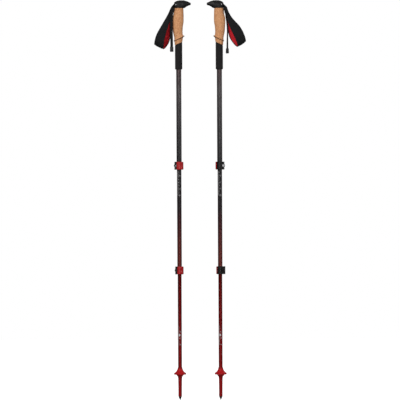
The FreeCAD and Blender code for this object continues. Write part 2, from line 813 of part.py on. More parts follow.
def tip_sleeve(pole):
    nose = "(sleeve_tip_radius - nose_break)"
    tip_end = "(sleeve_bottom + sleeve_tip_length)"
    outline = [
        ("holder_stem", "sleeve_bottom"),
        (nose, "sleeve_bottom"),
        ("sleeve_tip_radius", "sleeve_bottom + 4 * nose_break"),
        ("sleeve_tip_radius", tip_end),
        ("lower_od / 2", "seat_bottom - seat_taper"),
        ("seat_radius", "seat_bottom"),
        ("seat_radius", "basket_top + 2 * running_gap"),
        ("seat_radius + seat_lip", "basket_top + 2 * running_gap"),
        ("seat_radius + seat_lip", "sleeve_top - seat_lip"),
        ("seat_radius", "sleeve_top"),
        ("lower_od / 2", "sleeve_top"),
        ("lower_od / 2", "lower_end"),
        (0, "lower_end"),
        (0, "stem_top"),
        ("holder_stem", "stem_top"),
    ]
    return place(turned_body("Sleeve", outline), pole, "tip_sleeve")


def tip_holder(pole):
    """Steel nose cone with a stem up into the sleeve and a socket for the carbide."""
    outline = [
        ("carbide_radius", "holder_bottom"),
        ("carbide_radius + holder_rim", "holder_bottom"),
        ("sleeve_tip_radius - holder_step", "sleeve_bottom - holder_band"),
        ("sleeve_tip_radius - holder_step", "sleeve_bottom"),
        ("holder_stem", "sleeve_bottom"),
        ("holder_stem", "stem_top - holder_rim"),
        ("holder_stem - holder_rim", "stem_top"),
        (0, "stem_top"),
        (0, "carbide_top"),
        ("carbide_radius", "carbide_top"),
    ]
    return place(turned_body("Holder", outline), pole, "tip_holder")


def carbide_point(pole):
    outline = [
        (0, "carbide_radius / 2"),
        ("carbide_radius / 2", 0),
        ("carbide_radius", "carbide_radius"),
        ("carbide_radius", "carbide_top"),
        (0, "carbide_top"),
    ]
    return place(turned_body("Carbide", outline), pole, "carbide_point")


def basket(pole):
    """A small trekking basket: a hub that flares into a disc with a downturned rim, and a cone below."""
    bore = "(seat_radius + running_gap)"
    hub = f"({bore} + basket_wall)"
    outline = [
        (bore, "basket_bottom"),
        (hub, "basket_bottom"),
        ("basket_radius - basket_slope", "basket_rim - basket_slope * 2 / 3", "-3 * seat_radius"),
        ("basket_radius - 2 * basket_edge", "basket_rim - 2 * basket_edge"),
        ("basket_radius - 2 * basket_edge", "basket_rim - basket_lip"),
        ("basket_radius - basket_edge / 2", "basket_rim - basket_lip"),
        ("basket_radius", "basket_rim - basket_lip + basket_edge / 2"),
        ("basket_radius", "basket_rim"),
        ("basket_radius - basket_edge", "basket_rim + basket_edge", "-basket_radius"),
        (hub, "basket_top"),
        (bore, "basket_top"),
    ]
    return place(turned_body("Basket", outline), pole, "basket")


MAKERS = (
    upper_tube, grip_core, cork_grip, foam_grip, grip_head, strap_pin, strap_wedge,
    strap_webbing, strap_pad, strap_lining, strap_tail, strap_tab,
    upper_clamp, upper_barrel_nut, upper_screw, upper_cam, upper_cover,
    middle_guide, middle_tube, lower_clamp, lower_barrel_nut, lower_screw, lower_cam, lower_cover,
    lower_guide, lower_tube, tip_sleeve, tip_holder, carbide_point, basket,
)

POLES = (("left", -1, 0), ("right", 1, 180))

sub_parts = [make(pole) for pole in POLES for make in MAKERS]
doc.recompute()

failed = [thing.Name for thing in doc.Objects if {"Invalid", "Error"} & set(thing.State)]
failed += [part.Label for part in sub_parts if part.Shape.isNull() or not part.Shape.isValid()]
failed += [part.Label for part in sub_parts if len(part.Shape.Solids) != 1]
if failed:
    raise RuntimeError(f"these did not build: {failed}")

os.makedirs(PARTS_FOLDER, exist_ok=True)
for part in sub_parts:
    part.Shape.exportStep(os.path.join(PARTS_FOLDER, f"{part.Label}.step"))
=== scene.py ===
import math
from itertools import product

import bmesh
import bpy
import numpy as np
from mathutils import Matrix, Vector, noise


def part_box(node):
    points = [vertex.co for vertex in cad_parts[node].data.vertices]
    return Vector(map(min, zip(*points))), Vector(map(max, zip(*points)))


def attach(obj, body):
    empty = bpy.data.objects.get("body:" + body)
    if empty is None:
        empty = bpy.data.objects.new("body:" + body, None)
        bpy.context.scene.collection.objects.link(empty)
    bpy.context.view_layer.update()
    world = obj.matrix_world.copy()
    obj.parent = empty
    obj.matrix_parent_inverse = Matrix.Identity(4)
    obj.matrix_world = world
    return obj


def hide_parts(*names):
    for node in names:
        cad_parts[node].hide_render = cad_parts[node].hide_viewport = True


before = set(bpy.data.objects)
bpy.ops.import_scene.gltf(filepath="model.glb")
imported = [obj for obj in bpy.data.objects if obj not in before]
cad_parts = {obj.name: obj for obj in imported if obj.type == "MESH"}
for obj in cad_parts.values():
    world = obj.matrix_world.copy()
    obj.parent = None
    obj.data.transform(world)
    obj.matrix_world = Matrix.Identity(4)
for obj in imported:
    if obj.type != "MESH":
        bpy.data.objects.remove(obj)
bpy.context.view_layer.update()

# Lengths below are in millimetres in a pole's own frame: the axis at x = y = 0, the ground at z = 0 and
# the nose of the grip towards +x. Each pole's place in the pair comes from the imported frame.
MM = 0.001
SIDES = ("left", "right")


def centre_of(node):
    low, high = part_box(node)
    return (low + high) / 2 / MM


AXIS_X = {side: centre_of(f"{side}_carbide_point").x for side in SIDES}
FOAM_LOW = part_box("left_foam_grip")[0].z / MM
UPPER_CLAMP_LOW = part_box("left_upper_clamp")[0].z / MM
LOWER_CLAMP_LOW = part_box("left_lower_clamp")[0].z / MM
PIN_HEIGHT = centre_of("left_strap_pin").z
PIN_BACK = AXIS_X["left"] - centre_of("left_strap_pin").x
MIDDLE_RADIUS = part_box("left_middle_tube")[1].y / MM
LOWER_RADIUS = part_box("left_lower_tube")[1].y / MM


def in_row(side, points, mirrored=False):
    """Points of a pole's own frame in the row frame, in metres. The right pole is turned half a turn."""
    turned = np.array(points, float)
    if side == "right":
        turned[..., 0] *= -1
        if not mirrored:
            turned[..., 1] *= -1
    turned[..., 0] += AXIS_X[side]
    return turned * MM


# ---- curves and shapes as numbers ----


def smooth_step(low, high, value):
    share = np.clip((np.asarray(value, float) - low) / (high - low), 0, 1)
    return share * share * (3 - 2 * share)


def through(knots, at):
    """Values of a smooth curve through the knots, each (position, value, value...), that never overshoots."""
    table = np.array(knots, float)
    position, values = table[:, 0], table[:, 1:]
    steps = np.diff(position)[:, None]
    slopes = np.diff(values, axis=0) / steps
    inner = np.where(
        slopes[:-1] * slopes[1:] > 0,
        2 * slopes[:-1] * slopes[1:] / np.where(slopes[:-1] + slopes[1:] == 0, 1, slopes[:-1] + slopes[1:]),
        0,
    )
    tangents = np.vstack([slopes[:1], inner, slopes[-1:]])
    flat = np.clip(np.ravel(at), position[0], position[-1])
    span = np.clip(np.searchsorted(position, flat) - 1, 0, len(position) - 2)
    width = steps[span]
    t = ((flat - position[span]) / width[:, 0])[:, None]
    result = (
        (2 * t**3 - 3 * t**2 + 1) * values[span]
        + (t**3 - 2 * t**2 + t) * width * tangents[span]
        + (3 * t**2 - 2 * t**3) * values[span + 1]
        + (t**3 - t**2) * width * tangents[span + 1]
    )
    return result.reshape(*np.shape(at), values.shape[1])


def spaced(points, step):
    """A smooth curve through rows of numbers, read off at even steps of the length of its first three."""
    rows = np.array(points, float)
    padded = np.vstack([2 * rows[0] - rows[1], rows, 2 * rows[-1] - rows[-2]])
    fine = []
    for index in range(1, len(padded) - 2):
        before, start, end, after = padded[index - 1:index + 3]
        t = np.linspace(0, 1, 24, endpoint=False)[:, None]
        fine.append(0.5 * (
            2 * start + (end - before) * t
            + (2 * before - 5 * start + 4 * end - after) * t**2
            + (3 * start - before - 3 * end + after) * t**3
        ))
    dense = np.vstack([*fine, rows[-1:]])
    lengths = np.concatenate([[0], np.cumsum(np.linalg.norm(np.diff(dense[:, :3], axis=0), axis=1))])
    count = max(2, int(round(lengths[-1] / step)) + 1)
    even = np.linspace(0, lengths[-1], count)
    return np.column_stack([np.interp(even, lengths, column) for column in dense.T]), even


def rumple(points, size, seed):
    """Soft noise between about -1 and 1 at each point; size is the width of its lumps."""
    shift = Vector((seed * 7.1, seed * 3.7, seed * 1.9))
    return np.array([noise.noise(Vector(point) / size + shift) for point in points.reshape(-1, 3)])


def smooth_union(a, b, reach):
    blend = np.maximum(reach - np.abs(a - b), 0) / reach
    return np.minimum(a, b) - blend**2 * reach / 4


def smooth_overlap(a, b, reach):
    return -smooth_union(-a, -b, reach)


def rounded_box(points, centre, half, radius):
    away = np.abs(points - np.array(centre)) - (np.array(half) - radius)
    outside = np.linalg.norm(np.maximum(away, 0), axis=-1)
    return outside + np.minimum(away.max(axis=-1), 0) - radius


def surface_of(field, low, high, step):
    """Points and four-sided faces of the surface where the field is zero, one point to each crossed cell."""
    axes = [np.arange(a, b + step, step) for a, b in zip(low, high)]
    grid = np.stack(np.meshgrid(*axes, indexing="ij"), axis=-1)
    values = field(grid)
    inside = values < 0
    cells = tuple(size - 1 for size in values.shape)

    def shifted(array, offset):
        return array[tuple(slice(o, o + n) for o, n in zip(offset, cells))]

    count = sum(shifted(inside, corner).astype(int) for corner in product((0, 1), repeat=3))
    active = (count > 0) & (count < 8)
    index = np.full(cells, -1)
    index[active] = np.arange(active.sum())
    total = np.zeros((*cells, 3))
    hits = np.zeros(cells)
    for axis in range(3):
        others = [other for other in range(3) if other != axis]
        for pair in product((0, 1), repeat=2):
            start = [0, 0, 0]
            start[others[0]], start[others[1]] = pair
            end = list(start)
            end[axis] = 1
            first, second = shifted(values, start), shifted(values, end)
            crossed = (first < 0) != (second < 0)
            share = np.where(crossed, first / np.where(crossed, first - second, 1), 0)
            place = shifted(grid, start) + share[..., None] * step * np.eye(3)[axis]
            total += np.where(crossed[..., None], place, 0)
            hits += crossed
    points = total[active] / hits[active][:, None]
    faces = []
    for axis in range(3):
        one, two = (axis + 1) % 3, (axis + 2) % 3
        here = tuple(slice(1, n) if other != axis else slice(0, n) for other, n in enumerate(cells))
        ahead = tuple(slice(1, n) if other != axis else slice(1, n + 1) for other, n in enumerate(cells))
        low_in, high_in = inside[here], inside[ahead]
        spots = np.argwhere(low_in != high_in)
        rising = low_in[tuple(spots.T)]
        spots = spots + np.array([0 if other == axis else 1 for other in range(3)])
        steps = np.eye(3, dtype=int)
        ring = [spots - steps[one] - steps[two], spots - steps[two], spots, spots - steps[one]]
        quads = np.stack([index[tuple(corner.T)] for corner in ring], axis=1)
        quads[~rising] = quads[~rising][:, ::-1]
        faces.append(quads)
    for _ in range(3):
        nudge = step / 10
        slope = np.stack([
            (field(points + nudge * way) - field(points - nudge * way)) / (2 * nudge) for way in np.eye(3)
        ], axis=-1)
        move = -field(points)[:, None] * slope / np.maximum((slope**2).sum(axis=1, keepdims=True), 0.05)
        length = np.linalg.norm(move, axis=1, keepdims=True)
        points = points + move * np.minimum(1, step / 3 / np.maximum(length, 1e-9))
    return points, np.vstack(faces)


# ---- meshes ----


def facing_out(points, faces):
    """The same closed surface with every face turned outwards."""
    corners = np.array([(face[0], *pair) for face in faces for pair in zip(face[1:-1], face[2:])])
    first, second, third = (np.asarray(points)[column] for column in corners.T)
    volume = (first * np.cross(second, third)).sum()
    return faces if volume > 0 else [face[::-1] for face in faces]


def new_piece(name, body, material, points, faces, stands_for=(), uvs=None, edge=None, sharp=40):
    """A mesh object in the row frame that rides on a body; uvs holds one pair to each point."""
    faces = facing_out(points, faces)
    mesh = bpy.data.meshes.new(name)
    mesh.from_pydata(np.asarray(points).reshape(-1, 3).tolist(), [], [list(map(int, face)) for face in faces])
    mesh.validate()
    if uvs is not None:
        layer = mesh.uv_layers.new(name="weave")
        corners = np.array([loop.vertex_index for loop in mesh.loops])
        layer.data.foreach_set("uv", np.asarray(uvs, np.float32).reshape(-1, 2)[corners].ravel())
    if edge is not None:
        attribute = mesh.attributes.new("edge", "FLOAT", "POINT")
        attribute.data.foreach_set("value", np.asarray(edge, np.float32).ravel())
    mesh.shade_smooth()
    mesh.set_sharp_from_angle(angle=math.radians(sharp))
    mesh.materials.append(material)
    piece = bpy.data.objects.new(name, mesh)
    bpy.context.scene.collection.objects.link(piece)
    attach(piece, body)
    if stands_for:
        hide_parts(*stands_for)


def skin(rings, looped=False):
    """Faces over rows of points that each go once round; the end rows meet, or a fan closes each."""
    rows, around = rings.shape[:2]
    points = rings.reshape(-1, 3)
    faces = []
    for row in range(rows if looped else rows - 1):
        here, ahead = row * around, (row + 1) % rows * around
        for spot in range(around):
            following = (spot + 1) % around
            faces.append((here + spot, here + following, ahead + following, ahead + spot))
    if not looped:
        for row, forward in ((0, False), (rows - 1, True)):
            middle = len(points)
            points = np.vstack([points, rings[row].mean(axis=0)])
            for spot in range(around):
                pair = (row * around + spot, row * around + (spot + 1) % around)
                faces.append((*pair, middle) if forward else (*pair[::-1], middle))
    return points, faces


def joined(parts):
    """Several (points, faces) pairs as one."""
    points, faces, count = [], [], 0
    for some_points, some_faces in parts:
        points.append(np.asarray(some_points).reshape(-1, 3))
        faces += [tuple(corner + count for corner in face) for face in some_faces]
        count += len(points[-1])
    return np.vstack(points), faces


# ---- materials ----


def rgb(red, green, blue):
    """A display colour out of 255 as the linear colour a shader takes."""
    shares = [value / 255 for value in (red, green, blue)]
    return (*[s / 12.92 if s <= 0.04045 else ((s + 0.055) / 1.055) ** 2.4 for s in shares], 1)


def scaled(colour, share):
    """A darker or lighter version of a shader's colour."""
    return (*[value * share for value in colour[:3]], 1)


class Shading:
    """A material being put together from nodes."""

    def __init__(self, name, **surface):
        self.material = bpy.data.materials.new(name)
        self.material.use_nodes = True
        self.tree = self.material.node_tree
        self.surface = self.tree.nodes["Principled BSDF"]
        self.place = self.add("ShaderNodeTexCoord").outputs["Object"]
        self.set(**surface)

    def add(self, kind, inputs=(), **settings):
        made = self.tree.nodes.new(kind)
        for key, value in settings.items():
            setattr(made, key, value)
        for key, value in dict(inputs).items():
            self.feed(made.inputs[key], value)
        return made

    def feed(self, socket, value):
        if isinstance(value, bpy.types.NodeSocket):
            self.tree.links.new(value, socket)
        else:
            socket.default_value = value

    def set(self, **values):
        for key, value in values.items():
            self.feed(self.surface.inputs[key.replace("_", " ").title().replace("Ior", "IOR")], value)

    def math(self, operation, first, second=0.0, third=0.0):
        node = self.add("ShaderNodeMath", {0: first, 1: second, 2: third}, operation=operation)
        return node.outputs[0]

    def stretched(self, x=1.0, y=1.0, z=1.0):
        return self.add("ShaderNodeMapping", {"Vector": self.place, "Scale": (x, y, z)}).outputs["Vector"]

    def noise(self, size, detail=4.0, rough=0.55, vector=None):
        """Noise from 0 to 1 whose lumps are about size millimetres wide."""
        inputs = {"Vector": vector or self.place, "Scale": 1 / (size * MM)}
        inputs.update({"Detail": detail, "Roughness": rough})
        return self.add("ShaderNodeTexNoise", inputs).outputs["Fac"]

    def cells(self, size, feature="F1", vector=None):
        inputs = {"Vector": vector or self.place, "Scale": 1 / (size * MM)}
        return self.add("ShaderNodeTexVoronoi", inputs, feature=feature)

    def spread(self, value, low, high, to_low=0.0, to_high=1.0):
        inputs = {"Value": value, "From Min": low, "From Max": high, "To Min": to_low, "To Max": to_high}
        return self.add("ShaderNodeMapRange", inputs).outputs["Result"]

    def ramp(self, value, stops):
        node = self.add("ShaderNodeValToRGB", {"Fac": value})
        ramp = node.color_ramp
        while len(ramp.elements) < len(stops):
            ramp.elements.new(0.5)
        for element, (position, colour) in zip(ramp.elements, stops):
            element.position = position
            element.color = colour
        return node.outputs["Color"]

    def mix(self, share, first, second, kind="MIX"):
        node = self.add("ShaderNodeMix", data_type="RGBA", blend_type=kind)
        self.feed(node.inputs[0], share)
        self.feed(node.inputs[6], first)
        self.feed(node.inputs[7], second)
        return node.outputs[2]

    def tint(self, base, mask, strength, colour):
        """Lay a colour over the base, by strength where the mask is 1."""
        return self.mix(self.math("MULTIPLY", mask, strength), base, colour)

    def edge_distance(self):
        """The piece's own attribute, in millimetres."""
        return self.add("ShaderNodeAttribute", attribute_name="edge").outputs["Fac"]

    def bump(self, height, depth, strength=1.0, over=None):
        """Raise the surface by depth millimetres where height is 1."""
        inputs = {"Height": height, "Distance": depth * MM, "Strength": strength}
        if over is not None:
            inputs["Normal"] = over
        normal = self.add("ShaderNodeBump", inputs).outputs["Normal"]
        self.set(normal=normal)
        return normal

    def height(self):
        return self.add("ShaderNodeSeparateXYZ", {"Vector": self.place}).outputs["Z"]


def cork_material():
    """Pressed cork: millimetre granules in several browns, dark flecks and open pits, with painted shade
    under the finger lip.
    """
    shade = Shading("cork", roughness=0.72)
    warp_inputs = {"Vector": shade.place, "Scale": 420.0, "Detail": 2.0}
    warp = shade.add("ShaderNodeTexNoise", warp_inputs).outputs["Color"]
    wander = shade.mix(0.006, shade.place, warp)
    granule = shade.cells(2.6, vector=wander).outputs["Color"]
    tone = shade.add("ShaderNodeSeparateColor", {"Color": granule}).outputs["Red"]
    base = shade.ramp(tone, [
        (0.0, rgb(199, 137, 90)), (0.35, rgb(213, 151, 102)),
        (0.7, rgb(221, 160, 109)), (1.0, rgb(229, 172, 123)),
    ])
    broad = shade.spread(shade.noise(14, 3), 0.35, 0.65)
    base = shade.tint(base, broad, 0.16, rgb(188, 126, 82))
    fleck = shade.spread(shade.noise(1.3, 5, 0.7), 0.6, 0.7)
    base = shade.tint(base, fleck, 0.34, rgb(128, 78, 46))
    edge = shade.cells(2.6, "DISTANCE_TO_EDGE", vector=wander).outputs["Distance"]
    seam = shade.spread(edge, 0.0, 0.07, 1.0, 0.0)
    base = shade.tint(base, seam, 0.17, rgb(150, 98, 60))
    # Painted shade: the cork turns deep brown along the line under the finger lip, in a band that widens
    # towards the front.
    painted_lip_shade = shade.spread(shade.edge_distance(), 0.7, 1.9, 0.85, 0.0)
    base = shade.mix(painted_lip_shade, base, rgb(58, 38, 24))
    shade.set(base_color=base)
    first = shade.bump(shade.math("SUBTRACT", 1.0, fleck), 0.22)
    second = shade.bump(shade.spread(edge, 0.0, 0.12), 0.08, over=first)
    shade.bump(shade.noise(0.35, 6, 0.65), 0.06, over=second)
    return shade.material


def moulded_material(name, colour, roughness=0.5, grain=0.35, depth=0.03, wear=None, **more):
    """Moulded plastic or rubber with a fine eroded grain and faint handling marks."""
    shade = Shading(name, **more)
    patchy = shade.spread(shade.noise(9, 4), 0.3, 0.7)
    base = shade.tint(colour, patchy, 0.55, scaled(colour, 0.8))
    if wear is not None:
        rubbed = shade.spread(shade.noise(2.4, 6, 0.75), 0.62, 0.72)
        base = shade.tint(base, rubbed, 0.35, wear)
    shade.set(base_color=base)
    shade.set(roughness=shade.spread(shade.noise(3.1, 5), 0.3, 0.7, roughness - 0.07, roughness + 0.07))
    shade.bump(shade.noise(grain, 3, 0.6), depth)
    return shade.material


def foam_material():
    """Closed-cell foam: tiny rounded cells and a dry, dusty sheen."""
    shade = Shading("grip_foam", roughness=0.82, specular_ior_level=0.2, sheen_weight=0.04,
                    sheen_roughness=0.5)
    pores = shade.cells(0.55).outputs["Distance"]
    patchy = shade.spread(shade.noise(11, 4), 0.3, 0.7)
    base = shade.mix(patchy, rgb(28, 26, 27), rgb(36, 34, 34))
    holes = shade.spread(pores, 0.0, 0.35, 0.45, 0.0)
    shade.set(base_color=shade.mix(holes, base, rgb(14, 13, 13)))
    coarse = shade.bump(shade.noise(1.7, 4, 0.6), 0.08)
    shade.bump(pores, 0.09, over=coarse)
    return shade.material


def tube_material(name, stops, roughness=0.3):
    """Lacquered tube: the colour runs with height, under a clear coat with fine lengthwise scratches."""
    shade = Shading(name, metallic=0.6, specular_ior_level=0.08, coat_weight=0.03, coat_roughness=0.14,
                    specular_tint=rgb(70, 62, 62))
    low, high = stops[0][0] * MM, stops[-1][0] * MM
    share = shade.spread(shade.height(), low, high)
    base = shade.ramp(share, [((z * MM - low) / (high - low), colour) for z, colour in stops])
    streaks = shade.noise(1.2, 5, 0.7, vector=shade.stretched(1, 1, 0.02))
    cloudy = shade.spread(shade.noise(22, 3), 0.35, 0.65, 0.0, 0.16)
    base = shade.mix(cloudy, base, rgb(18, 14, 15))
    scuffs = shade.spread(shade.noise(0.8, 6, 0.8, vector=shade.stretched(1, 1, 0.25)), 0.68, 0.74)
    base = shade.tint(base, scuffs, 0.25, rgb(120, 112, 112))
    shade.set(base_color=base)
    shade.set(roughness=shade.spread(streaks, 0.3, 0.7, roughness - 0.06, roughness + 0.1))
    shade.bump(streaks, 0.012)
    return shade.material


def metal_material(name, colour, roughness=0.28, stretch=(1, 1, 1)):
    """Turned metal with fine tool marks and smudges."""
    shade = Shading(name, metallic=1.0)
    marks = shade.noise(0.25, 4, 0.6, vector=shade.stretched(*stretch))
    smudge = shade.spread(shade.noise(2.2, 4), 0.35, 0.7)
    shade.set(base_color=shade.tint(colour, smudge, 0.5, scaled(colour, 0.72)))
    shade.set(roughness=shade.spread(marks, 0.3, 0.7, roughness - 0.06, roughness + 0.14))
    shade.bump(marks, 0.008)
    return shade.material


def woven_material(name, warp_colour, weft_colour, rib, pick, depth, fuzz=0.02, bound=None):
    """A weave read off the piece's own across-and-along coordinates, in millimetres, with a bound edge."""
    shade = Shading(name, roughness=0.8, specular_ior_level=0.2, sheen_weight=fuzz, sheen_roughness=0.45)
    uv = shade.add("ShaderNodeUVMap", uv_map="weave").outputs["UV"]
    brick = shade.add("ShaderNodeTexBrick", {
        "Vector": uv, "Scale": 1.0, "Mortar Size": 0.16 * rib, "Mortar Smooth": 0.9, "Bias": 0.0,
        "Brick Width": pick, "Row Height": rib,
        "Color1": warp_colour, "Color2": weft_colour,
        "Mortar": scaled(warp_colour, 0.35),
    })
    base = brick.outputs["Color"]
    fibres = shade.noise(0.22, 5, 0.7)
    base = shade.mix(shade.spread(fibres, 0.4, 0.75, 0.0, 0.35), base, scaled(weft_colour, 1.7))
    shadow = shade.spread(shade.noise(17, 3), 0.35, 0.65, 0.0, 0.3)
    base = shade.mix(shadow, base, scaled(warp_colour, 0.6))
    thread = shade.math("SUBTRACT", 1.0, brick.outputs["Fac"])
    if bound is not None:
        on_edge = shade.spread(shade.edge_distance(), 2.3, 2.6, 1.0, 0.0)
        base = shade.mix(on_edge, base, bound)
    shade.set(base_color=base)
    woven = shade.bump(thread, depth)
    shade.bump(fibres, 0.05, over=woven)
    return shade.material


MATERIALS = {
    "cork": cork_material(),
    "head": moulded_material("head_rubber", rgb(17, 15, 15), 0.5, 0.5, 0.05, specular_ior_level=0.3),
    # The pad on the head's top is coloured light grey as a painted sheen on the black head.
    "insert": moulded_material("head_insert_painted_sheen", rgb(150, 144, 146), 0.62, 0.5, 0.05),
    "foam": foam_material(),
    "core": moulded_material("core_plastic", rgb(70, 44, 30), 0.6),
    # The upper tube's colour lightens from the clamp up towards the grip: a painted highlight laid over its
    # dark lacquer.
    "upper_tube": tube_material("upper_tube_lacquer_and_highlight", [
        (UPPER_CLAMP_LOW, rgb(54, 53, 54)), (850, rgb(70, 68, 69)), (970, rgb(86, 82, 83)),
        (FOAM_LOW, rgb(78, 66, 67)), (FOAM_LOW + 20, rgb(60, 56, 56)),
    ]),
    "middle_tube": tube_material("middle_tube_lacquer", [
        (LOWER_CLAMP_LOW, rgb(118, 56, 52)), (470, rgb(104, 52, 48)), (560, rgb(70, 42, 44)),
        (600, rgb(52, 46, 48)), (UPPER_CLAMP_LOW, rgb(48, 47, 48)),
    ]),
    "lower_tube": tube_material("lower_tube_lacquer", [
        (90, rgb(150, 30, 30)), (170, rgb(140, 28, 30)), (260, rgb(124, 24, 26)),
        (340, rgb(108, 18, 18)), (LOWER_CLAMP_LOW, rgb(84, 12, 10)),
    ]),
    "clamp": moulded_material("clamp_nylon", rgb(10, 9, 9), 0.4, 0.5, 0.04, specular_ior_level=0.3),
    "lever": moulded_material("lever_red", rgb(178, 20, 26), 0.36, 0.6, 0.02, wear=rgb(200, 76, 80),
                              specular_ior_level=0.3, coat_weight=0.1, coat_roughness=0.2),
    "tip": moulded_material("tip_plastic", rgb(150, 22, 24), 0.44, 0.4, 0.03, wear=rgb(172, 66, 60),
                            specular_ior_level=0.08),
    "basket": moulded_material("basket_plastic", rgb(190, 18, 26), 0.4, 0.5, 0.03, wear=rgb(206, 84, 80),
                               specular_ior_level=0.2, subsurface_weight=0.05),
    "steel": metal_material("screw_steel", rgb(132, 132, 134), 0.3),
    "black_steel": metal_material("nut_steel", rgb(46, 45, 46), 0.36),
    "dark_steel": metal_material("holder_steel", rgb(92, 78, 76), 0.36, (1, 1, 8)),
    "carbide": metal_material("carbide_grey", rgb(168, 166, 166), 0.4),
    "guide": moulded_material("guide_nylon", rgb(196, 194, 188), 0.55),
    "webbing": woven_material("strap_webbing", rgb(17, 17, 18), rgb(28, 28, 29), 0.75, 2.1, 0.16),
    "shell": woven_material("strap_shell", rgb(19, 19, 21), rgb(29, 29, 31), 0.55, 1.3, 0.1,
                            bound=rgb(14, 14, 15)),
    "lining": woven_material("strap_lining", rgb(200, 26, 38), rgb(216, 40, 52), 0.8, 1.0, 0.12, fuzz=0.06),
    "thread": moulded_material("strap_thread", rgb(64, 62, 64), 0.7, 0.2, 0.05),
    "red_thread": moulded_material("lining_thread", rgb(120, 22, 28), 0.7, 0.2, 0.05),
    "tab": moulded_material("tab_rubber", rgb(26, 25, 26), 0.55, 0.4, 0.04),
    "marks": moulded_material("scale_print", rgb(206, 204, 204), 0.5, 0.2, 0.01),
}

NODE_MATERIALS = {
    "upper_tube": "upper_tube", "middle_tube": "middle_tube", "lower_tube": "lower_tube",
    "grip_core": "core", "strap_pin": "steel", "strap_wedge": "head",
    "upper_clamp": "clamp", "lower_clamp": "clamp", "upper_lever_cam": "clamp", "lower_lever_cam": "clamp",
    "upper_lever_cover": "lever", "lower_lever_cover": "lever",
    "upper_barrel_nut": "black_steel", "lower_barrel_nut": "black_steel", "upper_screw": "steel",
    "lower_screw": "black_steel",
    "middle_guide": "guide", "lower_guide": "guide",
    "tip_sleeve": "tip", "tip_holder": "dark_steel", "carbide_point": "carbide", "basket": "basket",
}

BEVELS = {"upper_clamp": 0.35, "lower_clamp": 0.35, "upper_lever_cover": 0.45, "lower_lever_cover": 0.45,
          "upper_lever_cam": 0.3, "lower_lever_cam": 0.3, "basket": 0.15, "tip_sleeve": 0.15}


def dress(node, material, bevel):
    """Give a node from the frame its material and soften its hard edges without touching its mesh."""
    node.data.materials.clear()
    node.data.materials.append(material)
    weld = node.modifiers.new("weld", "WELD")
    weld.merge_threshold = 0.002 * MM
    soften = node.modifiers.new("soften", "BEVEL")
    soften.width = bevel * MM
    soften.segments = 3
    soften.limit_method = "ANGLE"
    soften.angle_limit = math.radians(38)
    soften.use_clamp_overlap = True
    even = node.modifiers.new("even", "WEIGHTED_NORMAL")
    even.keep_sharp = False
    even.weight = 60


for side, (suffix, material) in product(SIDES, NODE_MATERIALS.items()):
    dress(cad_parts[f"{side}_{suffix}"], MATERIALS[material], BEVELS.get(suffix, 0.12))


# ---- grip ----

SEAM_SLOPE = math.tan(math.radians(25))
SEAM_HEIGHT = 1113.5

# Cork rings, top to bottom: height at the axis, reach to the front, reach to the back, half depth.
CORK_RINGS = (
    (1224.7, 9.7, 9.7, 9.7), (1224.6, 14.3, 12.7, 12.4), (1224.1, 15.1, 13.4, 13),
    (1218.5, 15.6, 14.6, 13.4), (1206, 16, 15.9, 13.7), (1194, 16.2, 19, 14), (1182, 15.9, 19.3, 13.9),
    (1169, 14, 18.5, 13.5), (1156, 13, 17.3, 13.1), (1146, 12.6, 15, 12.8), (1139, 12.9, 13.6, 12.7),
    (1134.5, 13.9, 13.3, 13.1), (1131.9, 15.5, 13.7, 13.9), (1130.4, 17.4, 14.4, 14.8),
    (1129.6, 18.7, 15, 15.5), (1129, 19.2, 15.3, 15.8), (1128.4, 18.8, 15.1, 15.6),
    (1127.8, 16.6, 14.3, 14.6), (1127, 14.4, 13.4, 13.4), (1125.5, 13.4, 12.9, 12.8),
    (1121, 12.7, 12.4, 12.3), (1115.5, 12.1, 11.9, 11.9), (1114.2, 11.9, 11.6, 11.6),
    (1113.8, 11.2, 11, 11), (1113.7, 9.7, 9.7, 9.7),
)
CORK_ROWS, CORK_AROUND = 190, 128
LIP_HEIGHT = 1127.7
CORK_PITS = 0.352


def slope_at(height):
    """How far the rings of the grip lean: level at the palm, along the seam at the finger stop."""
    return SEAM_SLOPE * (1 - smooth_step(1136, 1180, height))


def slanted_rings(heights, front, rear, depth, around):
    """Leaning oval rings, one to each height."""
    angle = np.linspace(0, 2 * math.pi, around, endpoint=False)
    reach = (front + rear)[:, None] / 2
    x = (front - rear)[:, None] / 2 + reach * np.cos(angle)
    y = depth[:, None] * np.sin(angle)
    z = heights[:, None] + slope_at(heights)[:, None] * x
    return np.stack([x, y, z], axis=-1)


def cork_points():
    """The cork's rings, pitted and slightly uneven, and each point's distance from the line under the lip,
    which places the painted shade there.
    """
    knots = np.array(CORK_RINGS)
    travel = np.concatenate([[0], np.cumsum(np.linalg.norm(np.diff(knots[:, :2], axis=0), axis=1))])
    places = np.linspace(0, travel[-1], CORK_ROWS)
    rows = through(np.column_stack([travel, knots]), places)
    rings = slanted_rings(*rows.T, CORK_AROUND)
    centre = rings.mean(axis=1, keepdims=True)
    outward = rings - centre
    outward[..., 2] = 0
    outward /= np.linalg.norm(outward, axis=-1, keepdims=True)
    pits = np.clip(rumple(rings, 1.1, 1) - 0.22, 0, 1) * CORK_PITS
    swell = 0.12 * rumple(rings, 9, 2)
    worn = smooth_step(0, 6, travel[-1] - places)[:, None]
    move = (swell - pits).reshape(rings.shape[:2]) * worn
    # Distance from the line under the lip, shrunk towards the front, where the cork material paints shade.
    painted_lip_shade = np.abs(rows[:, :1] - LIP_HEIGHT) - 1.3 * smooth_step(8, 17, rings[..., 0])
    return rings + outward * move[..., None], painted_lip_shade.ravel()


def cork_grip(side, cork):
    rings, painted_lip_shade = cork
    points, faces = skin(in_row(side, rings), looped=True)
    new_piece(f"{side}_cork", f"{side}_handle", MATERIALS["cork"], points, faces,
              [f"{side}_cork_grip"], edge=painted_lip_shade, sharp=70)


